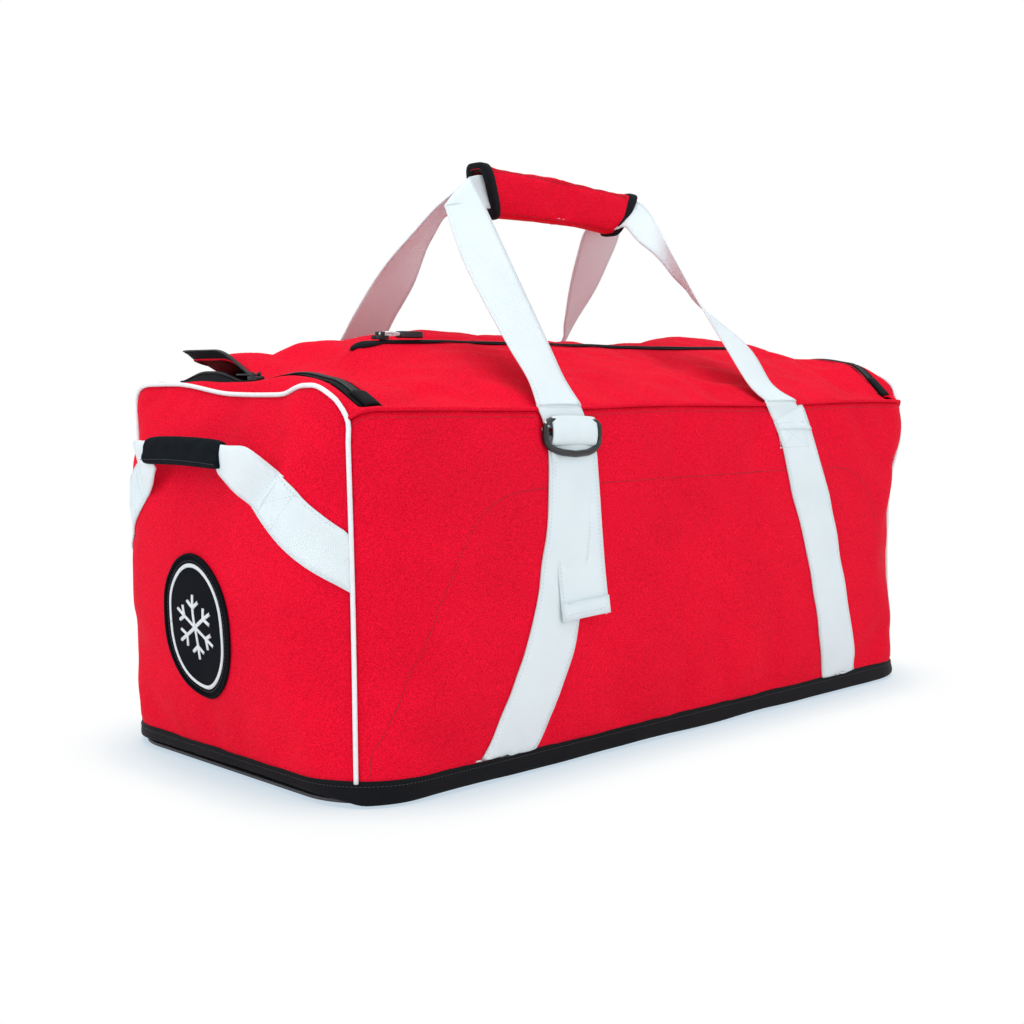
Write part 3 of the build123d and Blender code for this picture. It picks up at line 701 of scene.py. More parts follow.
ridge_y = 0.035
ridge_line = ((-0.4355, 0.3990), (-0.3780, 0.4085), (-0.3190, 0.4265), (-0.2320, 0.4390), (-0.1500, 0.4400),
              (-0.0880, 0.4390), (0.0290, 0.4340), (0.0830, 0.4290), (0.1450, 0.4310), (0.1850, 0.4350),
              (0.2600, 0.4410), (0.3750, 0.4420), (0.4355, 0.4320))


def ridge_height(x):
    """Height of the stuffed lid along its highest line."""
    for (x0, z0), (x1, z1) in zip(ridge_line, ridge_line[1:]):
        if x <= x1:
            return z0 + (z1 - z0) * ease((x - x0) / (x1 - x0))
    return ridge_line[-1][1]


def lid_height(x, y):
    """Height of the domed lid before the cloth settles."""
    edge = lid_front_edge(x)
    front_z = top_edge("front_panel", Vector((x, edge, 0))) + 0.0030
    rear_z = lid_rim(x, lid_edge_y)
    ridge = ridge_height(x)
    if y < ridge_y:
        t = min(max((y - edge) / (ridge_y - edge), 0), 1)
        middle = front_z + (ridge - front_z) * math.sin(math.pi / 2 * t) ** 1.25
        flat = math.exp(-((y - crown_y) / 0.016) ** 2)
        flat *= ease((x - slit_from) / 0.03) * ease((slit_to - x) / 0.03)
        middle += (crown_height + 0.0015 - middle) * flat
    else:
        t = min(max((lid_edge_y - y) / (lid_edge_y - ridge_y), 0), 1)
        middle = rear_z + (ridge - rear_z) * math.sin(math.pi / 2 * t) ** 0.88
    side = front_z + (lid_rim(x, y) - front_z) * ease((y - edge) / 0.030)
    away = ease((y - edge) / 0.05) * ease(abs(y - crown_y) / 0.022) * ease((lid_edge_y - y) / 0.04)
    crease = noise.noise(Vector((x * 19 + y * 26, y * 30 - x * 9, 4.0)))
    crease += 0.5 * noise.noise(Vector((x * 42 + y * 50, y * 44, 9.0)))
    middle += 0.0042 * crease * away
    near = min(max((lid_edge_x - abs(x)) / 0.105, 0.0), 1.0)
    return side + (middle - side) * (1 - (1 - near) ** 2.4) + corner_lift(x, y) * (0.55 + 0.45 * (1 - near))


flat_rows = 34
arc_rows = 8
lid_rows = flat_rows + arc_rows
lid_points = []
for row in range(lid_rows + 1):
    for column in range(lid_columns + 1):
        share = 2 * column / lid_columns - 1
        if row <= flat_rows:
            x = lid_edge_x * share
            edge = lid_front_edge(x)
            y = edge + (corner_start - edge) * row / flat_rows
        else:
            turn = math.pi / 2 * (row - flat_rows) / arc_rows
            y = corner_start + lid_corner * math.sin(turn)
            x = (opening_x - opening_radius + lid_corner * math.cos(turn)) * share
        lid_points.append(Vector((x, y, lid_height(x, y))))
lid_faces = []
for row in range(lid_rows):
    for column in range(lid_columns):
        a = row * (lid_columns + 1) + column
        lid_faces.append((a, a + 1, a + lid_columns + 2, a + lid_columns + 1))
lid = mesh_object("lid_cloth", lid_points, lid_faces, red_polyester)
held = {}
for row in range(lid_rows + 1):
    for column in range(lid_columns + 1):
        x, y, _ = lid_points[row * (lid_columns + 1) + column]
        on_zip = abs(y - crown_y) < 0.012 and slit_from < x < slit_to
        if row in (0, lid_rows) or column in (0, lid_columns) or on_zip:
            held[row * (lid_columns + 1) + column] = 1.0
settle(lid, held, growth=0.022, pressure=0.8, stiffness=3.0, limit=0.009)
smooth_once(lid)
bake(lid)
lid_tree = surface_tree(lid)
thicken(lid, cloth_thickness, red_backing)
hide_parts("lid_panel")
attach(lid, "lid")

# ---- Main zip: tapes, teeth and end patches -----------------------------------------
# A heavy coil zip on black woven tape. One half is sewn to the borders and one to the lid;
# the halves part at the open corner. A patch of black fabric covers each front end.


def yarn_fabric(name, light, dark, pitch, sheen, rough=0.75, level=0.3, relief=0.0004, glow=0.0):
    """Plain narrow weave of one colour: ribs across the length, seen in the bump."""
    material, tree = new_material(name)
    along = add_node(tree, "ShaderNodeUVMap").outputs[0]
    parts = add_node(tree, "ShaderNodeSeparateXYZ", Vector=along)
    rib = add_node(tree, "ShaderNodeMath", {"operation": "SINE"}, _0=add_node(
        tree, "ShaderNodeMath", {"operation": "MULTIPLY"}, _0=parts.outputs[1],
        _1=2 * math.pi / pitch).outputs[0]).outputs[0]
    warp = add_node(tree, "ShaderNodeMath", {"operation": "SINE"}, _0=add_node(
        tree, "ShaderNodeMath", {"operation": "MULTIPLY"}, _0=parts.outputs[0],
        _1=2 * math.pi / (pitch * 1.6)).outputs[0]).outputs[0]
    weave = add_node(tree, "ShaderNodeMath", {"operation": "MULTIPLY"}, _0=rib, _1=warp).outputs[0]
    place = add_node(tree, "ShaderNodeTexCoord").outputs["Object"]
    soil = add_node(tree, "ShaderNodeTexNoise", Vector=place, Scale=22.0, Detail=4.0).outputs[0]
    fuzz = add_node(tree, "ShaderNodeTexNoise", Vector=place, Scale=1500.0, Detail=1.0).outputs[0]
    lint = add_node(tree, "ShaderNodeMath", {"operation": "MULTIPLY"}, _0=fuzz, _1=0.3).outputs[0]
    wear = add_node(tree, "ShaderNodeMath", {"operation": "MULTIPLY_ADD"}, _0=soil, _1=0.7,
                    _2=lint).outputs[0]
    mixed = add_node(tree, "ShaderNodeMath", {"operation": "MULTIPLY_ADD"}, _0=weave, _1=0.16,
                     _2=wear).outputs[0]
    shade = add_node(tree, "ShaderNodeMix", {"data_type": "RGBA"}, _0=mixed,
                     _6=linear_colour(dark), _7=linear_colour(light)).outputs[2]
    bump = add_node(tree, "ShaderNodeBump", Height=weave, Strength=0.45, Distance=relief).outputs[0]
    rough_map = add_node(tree, "ShaderNodeMapRange", Value=mixed, To_Min=rough - 0.07,
                         To_Max=rough + 0.07).outputs[0]
    webbing_shader = add_node(
        tree, "ShaderNodeBsdfPrincipled", Base_Color=shade, Roughness=rough_map, Normal=bump,
        Specular_IOR_Level=level, Sheen_Weight=sheen, Sheen_Roughness=0.35)
    through = add_node(tree, "ShaderNodeBsdfTranslucent", Color=linear_colour("#FFFFFF"), Normal=bump)
    cloth = add_node(tree, "ShaderNodeMixShader", _0=glow, _1=webbing_shader.outputs[0],
                     _2=through.outputs[0])
    add_node(tree, "ShaderNodeOutputMaterial", Surface=cloth.outputs[0])
    return material


zip_tape_black = yarn_fabric("black_woven_zip_tape", "#0E1218", "#05070B", 0.0012, 0.03, level=0.12)
coil_black = grained_finish("black_nylon_coil", "#0E1013", "#22262C", 90.0, 2.0, gloss=(0.25, 0.42))


def ribbon(name, rows, material):
    """A strip from rows of points across it, with a UV map in metres: across, along."""
    wide = len(rows[0])
    points = [p for row in rows for p in row]
    faces = []
    for i in range(len(rows) - 1):
        for k in range(wide - 1):
            a = i * wide + k
            faces.append((a, a + 1, a + wide + 1, a + wide))
    made = mesh_object(name, points, faces, material)
    far = [0.0]
    for one, two in zip(rows, rows[1:]):
        far.append(far[-1] + (two[wide // 2] - one[wide // 2]).length)
    layer = made.data.uv_layers.new(name="cloth")
    for loop in made.data.loops:
        i, k = divmod(loop.vertex_index, wide)
        layer.data[loop.index].uv = ((rows[i][k] - rows[i][0]).length, far[i])
    return made


def tape_height(x, y, on_lid):
    """Height of the zip tape; the lid's half follows the open corner up."""
    rise = corner_lift(x, y) if on_lid else 0.0
    return deck_level(y) + tape_level + swell(x, y) + rise


def zip_half(grow, on_lid, lift=0.0):
    """One line beside the zip, at its real height."""
    line = []
    for p in zip_outline(grow):
        inner = ease(1 - abs(grow) / tape_width)
        if on_lid:
            curl = 0.34 * corner_lift(p.x, p.y) * inner
        else:
            curl = 0.010 * inner * ease((p.y - 0.01) / 0.05) * ease((0.13 - p.y) / 0.05)
            curl *= ease((-0.40 - p.x) / 0.02)
        line.append(Vector((p.x, p.y, tape_height(p.x, p.y, on_lid) + curl + lift)))
    return line


for body, side, on_lid in (("shell", 1, False), ("lid", -1, True)):
    lines = [zip_half(side * (0.0006 + (tape_width - 0.0006) * k / 5), on_lid) for k in range(6)]
    tape = ribbon(f"{body}_zip_tape_cloth", list(zip(*lines)), zip_tape_black)
    face_towards(tape, up)
    thicken(tape, 0.0009, outward=True)
    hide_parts("lid_zip_tape" if on_lid else "body_zip_tape")
    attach(tape, body)


def repeat_tree(name, item, material):
    """A node tree that repeats a small mesh along a line of edges, each turned to face the
    way the line runs, a set pitch apart."""
    group = bpy.data.node_groups.new(name, "GeometryNodeTree")
    group.interface.new_socket("Geometry", in_out="INPUT", socket_type="NodeSocketGeometry")
    pitch = group.interface.new_socket("Pitch", in_out="INPUT", socket_type="NodeSocketFloat")
    size = group.interface.new_socket("Size", in_out="INPUT", socket_type="NodeSocketFloat")
    group.interface.new_socket("Geometry", in_out="OUTPUT", socket_type="NodeSocketGeometry")
    pitch.default_value, size.default_value = 0.004, 1.0
    given = group.nodes.new("NodeGroupInput")
    line = add_node(group, "GeometryNodeMeshToCurve", Mesh=given.outputs[0])
    even = add_node(group, "GeometryNodeResampleCurve", {"mode": "LENGTH"}, Curve=line.outputs[0],
                    Length=given.outputs[1])
    way = group.nodes.new("GeometryNodeInputTangent")
    face = group.nodes.new("GeometryNodeInputNamedAttribute")
    face.data_type = "FLOAT_VECTOR"
    face.inputs[0].default_value = "facing"
    turned = add_node(group, "FunctionNodeAxesToRotation", {"primary_axis": "X", "secondary_axis": "Z"},
                      _0=way.outputs[0], _1=face.outputs[0])
    shape = group.nodes.new("GeometryNodeObjectInfo")
    shape.inputs["Object"].default_value = item
    copies = add_node(group, "GeometryNodeInstanceOnPoints", Points=even.outputs[0],
                      Instance=shape.outputs["Geometry"], Rotation=turned.outputs[0],
                      Scale=given.outputs[2])
    real = add_node(group, "GeometryNodeRealizeInstances", Geometry=copies.outputs[0])
    coloured = add_node(group, "GeometryNodeSetMaterial", Geometry=real.outputs[0], Material=material)
    result = group.nodes.new("NodeGroupOutput")
    group.links.new(coloured.outputs[0], result.inputs[0])
    return group


def repeat_along(name, lines, facings, tree, pitch, size=1.0):
    """Repeats a tree's item along several lines and keeps the result as a plain mesh."""
    points, edges, faces_out = [], [], []
    for line, facing in zip(lines, facings):
        first = len(points)
        points += [tuple(p) for p in line]
        faces_out += [tuple(f) for f in facing]
        edges += [(first + i, first + i + 1) for i in range(len(line) - 1)]
    mesh = bpy.data.meshes.new(name)
    mesh.from_pydata(points, edges, [])
    layer = mesh.attributes.new("facing", "FLOAT_VECTOR", "POINT")
    for item, value in zip(layer.data, faces_out):
        item.vector = value
    made = bpy.data.objects.new(name, mesh)
    bpy.context.scene.collection.objects.link(made)
    modifier = made.modifiers.new("repeat", "NODES")
    modifier.node_group = tree
    for socket in tree.interface.items_tree:
        if socket.in_out == "INPUT" and socket.name == "Pitch":
            modifier[socket.identifier] = pitch
        if socket.in_out == "INPUT" and socket.name == "Size":
            modifier[socket.identifier] = size
    return bake(made)


def solid_from_profile(name, outline, rows):
    """A small closed solid: one outline repeated at several places and sizes along X."""
    points = [(x, y * grow, z * grow) for x, grow in rows for y, z in outline]
    n = len(outline)
    faces = [tuple(reversed(range(n))), tuple(range((len(rows) - 1) * n, len(rows) * n))]
    for i in range(len(rows) - 1):
        faces += [(i * n + k, i * n + (k + 1) % n, (i + 1) * n + (k + 1) % n, (i + 1) * n + k)
                  for k in range(n)]
    return mesh_object(name, points, faces)


def keep_out_of_view(made):
    """Takes a pattern piece out of the scene once its node tree has used it."""
    for collection in list(made.users_collection):
        collection.objects.unlink(made)


tooth_outline = [(0.0030 * math.cos(a), 0.0011 * math.sin(a)) for a in (math.pi / 4 * k for k in range(8))]
tooth_rows = ((-0.0007, 0.55), (-0.0003, 1.0), (0.0003, 1.0), (0.0007, 0.55))
tooth = solid_from_profile("coil_turn", tooth_outline, tooth_rows)
keep_out_of_view(tooth)
coil_tree = repeat_tree("coil_turns", tooth, coil_black)
coil_pitch = 0.0021
for body, side, on_lid in (("shell", 1, False), ("lid", -1, True)):
    line = smooth_path(zip_half(side * 0.0016, on_lid, lift=0.0019), 0.004)
    teeth = repeat_along(f"{body}_zip_coil_turns", [line], [[up] * len(line)], coil_tree, coil_pitch)
    core_line = zip_half(side * 0.0030, on_lid, lift=0.0019)
    core = tube(f"{body}_zip_coil_core", core_line, 0.0010, coil_black, sides=6)
    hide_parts("lid_zip_coil" if on_lid else "body_zip_coil")
    for piece in (teeth, core):
        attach(piece, body)

patch_half = 0.0090
patch_from, patch_to = -0.1890, -0.1650
for end, side in (("left", -1), ("right", 1)):
    rows = []
    for i in range(9):
        y = patch_from + (patch_to - patch_from) * i / 8
        row = []
        for k in range(9):
            x = side * opening_x + patch_half * (2 * k / 8 - 1)
            drop = 0.0022 * (2 * k / 8 - 1) ** 4 + 0.0018 * (2 * i / 8 - 1) ** 4
            row.append(Vector((x, y, tape_height(x, y, False) + 0.0052 - drop)))
        rows.append(row)
    patch = ribbon(f"{end}_zip_end_patch", rows, zip_tape_black)
    face_towards(patch, up)
    thicken(patch, 0.0012, outward=True)
    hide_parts(f"{end}_zip_patch")
    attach(patch, "shell")

# ---- Lid pocket: zip, slider, cord loop and rubber tab -------------------------------
# A slit across the crown with its own black zip, open for the length of a finger at the
# left. The slider has a white cord loop and a moulded rubber tab to pull it by.

pocket_low, pocket_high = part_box("pocket_zip_tape")
pocket_slider_low, pocket_slider_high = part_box("pocket_zip_slider")
pocket_slider_x = (pocket_slider_low.x + pocket_slider_high.x) / 2


def on_lid_top(x, y, lift):
    """A place on the settled lid, a little above its cloth."""
    hit, normal, _, _ = lid_tree.ray_cast(Vector((x, y, 0.7)), Vector((0, 0, -1)))
    return hit + Vector((0, 0, lift)) if hit else Vector((x, y, lid_height(x, y) + lift))


pocket_count = 120
pocket_half = 0.0062
rows = []
for i in range(pocket_count + 1):
    x = pocket_low.x + (pocket_high.x - pocket_low.x) * i / pocket_count
    gape = 0.0045 * math.sin(math.pi * min(max((x - pocket_low.x) / (pocket_slider_x - pocket_low.x), 0), 1))
    ends = ease((x - pocket_low.x) / 0.012) * ease((pocket_high.x - x) / 0.012)
    half = pocket_half * (0.25 + 0.75 * ends) + gape
    rows.append([on_lid_top(x, crown_y + half * u, 0.0009 + 0.0006 * (1 - u * u))
                 for u in (-1, -0.6, -0.2, 0.2, 0.6, 1)])
pocket_tape = ribbon("pocket_zip_tape_cloth", rows, zip_tape_black)
face_towards(pocket_tape, up)
thicken(pocket_tape, 0.0008, outward=True)
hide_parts("pocket_zip_tape")
line = [on_lid_top(pocket_slider_x + (pocket_high.x - 0.004 - pocket_slider_x) * i / 90, crown_y, 0.0026)
        for i in range(91)]
pocket_teeth = repeat_along("pocket_zip_coil_turns", [line], [[up] * len(line)], coil_tree, 0.0017, 0.72)
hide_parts("pocket_zip_coil")
for piece in (pocket_tape, pocket_teeth):
    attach(piece, "lid")

enamel = grained_finish("black_enamelled_zinc", "#101216", "#2B2F35", 240.0, 3.0, gloss=(0.22, 0.38),
                        Metallic=0.4)


def softened(node, name, material, width, segments=3):
    """A copy of a small hard CAD piece with its edges rounded, as a casting's are."""
    copy = bpy.data.objects.new(name, nodes[node].data.copy())
    bpy.context.scene.collection.objects.link(copy)
    shape = bmesh.new()
    shape.from_mesh(copy.data)
    bmesh.ops.remove_doubles(shape, verts=shape.verts, dist=0.00002)
    bmesh.ops.dissolve_limit(shape, angle_limit=math.radians(2), verts=shape.verts, edges=shape.edges)
    shape.to_mesh(copy.data)
    shape.free()
    copy.data.materials.clear()
    copy.data.materials.append(material)
    edge = copy.modifiers.new("edges", "BEVEL")
    edge.width, edge.segments, edge.limit_method = width, segments, "ANGLE"
    bake(copy)
    copy.data.shade_smooth()
    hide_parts(node)
    return copy


for node, body, width in (
    ("side_zip_slider", "side_zip_slider", 0.0012), ("rear_zip_slider", "rear_zip_slider", 0.0012),
    ("pocket_zip_slider", "pocket_zip_slider", 0.0012), ("side_zip_pull", "side_zip_pull", 0.0006),
    ("rear_zip_pull", "rear_zip_pull", 0.0006),
):
    metal = softened(node, f"{node}_casting", enamel, width)
    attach(metal, body)

white_cord, tree = new_material("white_braided_polyester_cord")
place = add_node(tree, "ShaderNodeTexCoord").outputs["Object"]
braid = add_node(tree, "ShaderNodeTexVoronoi", Vector=place, Scale=1100.0).outputs[0]
shade = add_node(tree, "ShaderNodeMix", {"data_type": "RGBA"}, _0=braid,
                 _6=linear_colour("#F2F5F7"), _7=linear_colour("#B9C1C8")).outputs[2]
bump = add_node(tree, "ShaderNodeBump", Height=braid, Strength=0.6, Distance=0.0005).outputs[0]
shader = add_node(tree, "ShaderNodeBsdfPrincipled", Base_Color=shade, Roughness=0.7, Normal=bump)
add_node(tree, "ShaderNodeOutputMaterial", Surface=shader.outputs[0])

rubber = grained_finish("black_moulded_rubber", "#14161A", "#282C31", 130.0, 3.0, (0.25, 0.0004),
                        Roughness=0.46)

loop_low, loop_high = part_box("pocket_pull_loop")
tab_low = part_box("pocket_pull_tab")[0]
pin_x, pin_z = loop_low.x + 0.0012, (loop_low.z + loop_high.z) / 2
loop_lines = []
for spread, rise in ((0.0034, 0.0016), (0.0022, -0.0010)):
    path = [(pin_x + 0.001, crown_y - spread * 0.5, pin_z), (pin_x + 0.006, crown_y - spread, pin_z + rise),
            (pin_x + 0.014, crown_y - spread, pin_z + rise), (tab_low.x + 0.003, crown_y - 0.0012, pin_z),
            (tab_low.x + 0.003, crown_y + 0.0012, pin_z), (pin_x + 0.014, crown_y + spread, pin_z + rise),
            (pin_x + 0.006, crown_y + spread, pin_z + rise), (pin_x + 0.001, crown_y + spread * 0.5, pin_z)]
    loop_lines.append(smooth_path(path, 0.0012))
pull_line = loop_lines[0] + list(reversed(loop_lines[1]))
pull_cord = tube("pocket_pull_cord", pull_line, 0.0013, white_cord, sides=8)
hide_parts("pocket_pull_loop")
rubber_tab = softened("pocket_pull_tab", "pocket_pull_rubber", rubber, 0.0016, 4)
for piece in (pull_cord, rubber_tab):
    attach(piece, "pocket_zip_pull")

# ---- Pocket liner, inner pocket and its zip ------------------------------------------
# Inside: a sheet of thin taffeta is stretched under the lid as its pocket, and a mesh
# pocket with its own zip is sewn to the inside of the front panel.

taffeta = grained_finish("black_lining_taffeta", "#191C21", "#2A2E35", 900.0, 1.0, (0.3, 0.0003),
                         Roughness=0.5)

liner_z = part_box("lid_pocket_liner")[0].z
liner_half = (0.30, 0.085)
liner_steps = (60, 18)
rows = []
for i in range(liner_steps[0] + 1):
    x = liner_half[0] * (2 * i / liner_steps[0] - 1)
    row = []
    for k in range(liner_steps[1] + 1):
        y = crown_y + liner_half[1] * (2 * k / liner_steps[1] - 1)
        edge = max(abs(x) / liner_half[0], abs(y - crown_y) / liner_half[1])
        sag = 0.009 * (1 - edge ** 3) + 0.002 * noise.noise(Vector((x * 18, y * 18, 2.0)))
        row.append(Vector((x, y, min(on_lid_top(x, y, -0.010).z, liner_z + 0.006) - sag)))
    rows.append(row)
liner = ribbon("lid_pocket_lining", rows, taffeta)
thicken(liner, 0.0008)
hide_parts("lid_pocket_liner")
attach(liner, "lid")

pocket_mesh, tree = new_material("black_polyester_mesh")
place = add_node(tree, "ShaderNodeTexCoord").outputs["Object"]
cells = add_node(tree, "ShaderNodeTexVoronoi", {"feature": "DISTANCE_TO_EDGE"}, Vector=place,
                 Scale=280.0).outputs[0]
shade = add_node(tree, "ShaderNodeMix", {"data_type": "RGBA"}, _0=add_node(
    tree, "ShaderNodeMapRange", Value=cells, From_Max=0.18).outputs[0],
    _6=linear_colour("#26292F"), _7=linear_colour("#6E1019")).outputs[2]
bump = add_node(tree, "ShaderNodeBump", Height=cells, Strength=0.7, Distance=0.0008).outputs[0]
shader = add_node(tree, "ShaderNodeBsdfPrincipled", Base_Color=shade, Roughness=0.7, Normal=bump)
add_node(tree, "ShaderNodeOutputMaterial", Surface=shader.outputs[0])
for node, finish in (("inner_pocket", pocket_mesh), ("inner_pocket_zip", coil_black)):
    nodes[node].data.materials.clear()
    nodes[node].data.materials.append(finish)

# ---- White webbing: straps sewn to the long sides ------------------------------------
# Seat-belt style polyester webbing. Each strap is stitched flat to its panel along both
# edges, from under the base band up to the top seam.

white_webbing = yarn_fabric("white_polyester_webbing", "#EFFBFF", "#DCECF2", 0.0016, 0.10, rough=0.64,
                            level=0.25, relief=0.0005, glow=0.16)
webbing_width = 0.066
webbing_thickness = 0.0017
strap_samples = 9
strap_foot = band_top + 0.0004
panel_inward = {"front_panel": Vector((0, 1, 0)), "rear_panel": Vector((0, -1, 0)),
                "left_end_panel": Vector((1, 0, 0)), "right_end_panel": Vector((-1, 0, 0))}


def panel_hit(panel, point, lift):
    """The place on a settled panel straight in from a point outside it, and its normal."""
    inward = panel_inward[panel]
    start = Vector(point) - inward * 0.7
    hit, normal, _, _ = panel_trees[panel].ray_cast(start, inward)
    if not hit:
        hit, normal, _, _ = panel_trees[panel].find_nearest(Vector(point))
        normal = -inward
    if normal.dot(inward) > 0:
        normal = -normal
    return hit + normal * lift, normal


stitch_lines = {}


def sew(body, colour, line):
    """Notes a line of stitches, each place with the way it faces, to be made all together."""
    stitch_lines.setdefault((body, colour), []).append(line)


def beside(panel, centres, width):
    """The two edges of a strip of even width along a middle line on a panel."""
    flat = smooth_path(centres, 0.006)
    inward = Vector((0, 1, 0)) if panel in ("front_panel", "rear_panel") else Vector((1, 0, 0))
    across = [way.cross(inward).normalized() * width / 2 for way in tangents(flat)]
    return [p - a for p, a in zip(flat, across)], [p + a for p, a in zip(flat, across)]


def panel_reach(panel, spot):
    """How far across the bag a panel reaches, up to its corner seam, which leans in front
    at the left."""
    if "end" not in panel:
        return half_width + 0.006
    rise = (spot.z - band_top) / (seam_height - band_top)
    leaning = panel == "left_end_panel" and spot.y < 0
    return seam_corner_y - 0.0010 - (0.0060 + 0.0060 * rise if leaning else 0.0)


def sewn_strip(name, panel, sides, lift=0.0005, edge_stitch=0.055):
    """Webbing sewn flat on a panel between two edges, with a row of stitches at each one."""
    rows, edges = [], ([], [])
    for one, other in zip(*sides):
        row = []
        for k in range(strap_samples):
            u = 2 * k / (strap_samples - 1) - 1
            spot = one.lerp(other, (u + 1) / 2)
            spot.z = max(spot.z, strap_foot)
            limit = panel_reach(panel, spot)
            spot.y = min(max(spot.y, -limit), limit)
            row.append(panel_hit(panel, spot, lift + 0.0003 * (1 - u * u))[0])
        rows.append(row)
        for edge, t in zip(edges, (edge_stitch, 1 - edge_stitch)):
            spot = one.lerp(other, t)
            if spot.z > strap_foot and abs(spot.y) < panel_reach(panel, spot) - 0.005:
                edge.append(panel_hit(panel, spot, lift + webbing_thickness))
    strip = ribbon(name, rows, white_webbing)
    face_towards(strip, -panel_inward[panel])
    thicken(strip, webbing_thickness, outward=True)
    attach(strip, "shell")
    for edge in edges:
        sew("shell", "white", edge)
    return strip


def cross_stitch(panel, low, high):
    """A sewn box with a cross in it, between two pairs of corners on a panel."""
    corners = [low[0], low[1], high[1], high[0]]
    paths = [[corners[k], corners[(k + 1) % 4]] for k in range(4)]
    paths += [[corners[0], corners[2]], [corners[1], corners[3]]]
    for a, b in paths:
        a, b = Vector(a), Vector(b)
        count = max(3, round((b - a).length / 0.004))
        sew("shell", "white", [panel_hit(panel, a.lerp(b, i / count), 0.0006 + webbing_thickness)
                               for i in range(count + 1)])


tucked = strap_foot - 0.026
strap_routes = {
    "front_left_strap": ("front_panel", [
        (-0.2980, tucked), (-0.2760, 0.040), (-0.2530, 0.085), (-0.2290, 0.151), (-0.2120, 0.231),
        (-0.2030, 0.300), (-0.2000, 0.336)]),
    "front_right_strap": ("front_panel", [
        (0.2960, tucked), (0.2850, 0.040), (0.2640, 0.095), (0.2430, 0.160), (0.2200, 0.222),
        (0.1930, 0.285), (0.1700, 0.352)]),
    "rear_left_strap": ("rear_panel", [
        (-0.2980, tucked), (-0.2850, 0.040), (-0.2320, 0.151), (-0.1800, 0.352)]),
    "rear_right_strap": ("rear_panel", [
        (0.2980, tucked), (0.2850, 0.040), (0.2320, 0.151), (0.1720, 0.352)]),
}
for label, (panel, route) in strap_routes.items():
    side_y = -half_width if panel == "front_panel" else half_width
    strap = sewn_strip(f"{label}_webbing", panel,
                       beside(panel, [(x, side_y, z) for x, z in route], webbing_width))
    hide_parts(label)
    if label != "front_left_strap":
        x = route[-1][0]
        low = [(x - 0.026, side_y, 0.312), (x + 0.030, side_y, 0.312)]
        high = [(x - 0.028, side_y, 0.340), (x + 0.026, side_y, 0.340)]
        cross_stitch(panel, low, high)

# ---- Carry loops ---------------------------------------------------------------------
# Each long side's webbing leaves its panel at the top seam, rolls over the cord, and rises
# to the padded grip, twisting a little on the way. The front pair and the grip swing
# together; the rear pair runs into the same grip.

pivot_y = half_width - 0.0025
pivot_z = seam_height + 0.0025
roll_radius = 0.0040
wrap_low, wrap_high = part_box("handle_wrap")
grip_middle = (wrap_low.z + wrap_high.z) / 2


def make_strap(name, rows, ways, body):
    """Loose webbing from rows of points across it, and the lines of its two edge stitches."""
    strap = ribbon(name, rows, white_webbing)
    thicken(strap, webbing_thickness).offset = 0.0
    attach(strap, body)
    edges = ([], [])
    for row, way in zip(rows, ways):
        normal = (row[-1] - row[0]).cross(way).normalized()
        for edge, outer, inner in ((edges[0], 0, 1), (edges[1], -1, -2)):
            edge.append((row[outer].lerp(row[inner], 0.45), normal))
    return strap, edges


def sew_both_faces(body, edges):
    """White stitches along a strap's edges, on both of its faces."""
    for edge in edges:
        for face in (1, -1):
            sew(body, "white", [(p + n * face * webbing_thickness / 2, n * face) for p, n in edge])


def free_strap(name, stations, body, cup=0.0015):
    """Loose webbing through stations of place, width direction and width, bent smoothly."""
    centres = [Vector(s[0]) for s in stations]
    path = smooth_path(centres, 0.006)
    far = [0.0]
    for a, b in zip(centres, centres[1:]):
        far.append(far[-1] + (b - a).length)
    walked = [0.0]
    for a, b in zip(path, path[1:]):
        walked.append(walked[-1] + (b - a).length)
    rows = []
    ways = tangents(path)
    for place, way, length in zip(path, ways, walked):
        goal = length / walked[-1] * far[-1]
        at = max(i for i in range(len(far) - 1) if far[i] <= goal + 1e-9)
        t = ease((goal - far[at]) / (far[at + 1] - far[at]))
        across = Vector(stations[at][1]).normalized().lerp(Vector(stations[at + 1][1]).normalized(), t)
        across = (across - way * across.dot(way)).normalized()
        width = stations[at][2] + (stations[at + 1][2] - stations[at][2]) * t
        normal = across.cross(way).normalized()
        rows.append([place + across * u * width / 2 + normal * cup * (1 - u * u)
                     for u in (2 * k / (strap_samples - 1) - 1 for k in range(strap_samples))])
    return make_strap(name, rows, ways, body), rows


def edged_strap(name, pairs, body, cup=0.0012):
    """Loose webbing between two edges, each a smooth line through its own places."""
    parts = [max(2, math.ceil(max((Vector(b) - Vector(a)).length for a, b in zip(one, two)) / 0.006))
             for one, two in zip(pairs, pairs[1:])]
    first, second = (spline([pair[k] for pair in pairs], parts) for k in (0, 1))
    ways = tangents([a.lerp(b, 0.5) for a, b in zip(first, second)])
    rows = []
    for a, b, way in zip(first, second, ways):
        normal = (b - a).cross(way).normalized()
        rows.append([a.lerp(b, t) + normal * cup * (1 - (2 * t - 1) ** 2)
                     for t in (k / (strap_samples - 1) for k in range(strap_samples))])
    return make_strap(name, rows, ways, body)


def rolled_foot(side, left, right, lean):
    """Edges of a riser where it rolls over the seam cord, so it turns about the pivot."""
    pairs = []
    for turn in (-80, -40, 0, 25, lean):
        angle = math.radians(turn)
        y = side * (pivot_y + roll_radius * math.cos(angle))
        z = pivot_z + roll_radius * math.sin(angle)
        pairs.append(((left, y, z), (right, y, z)))
    return pairs


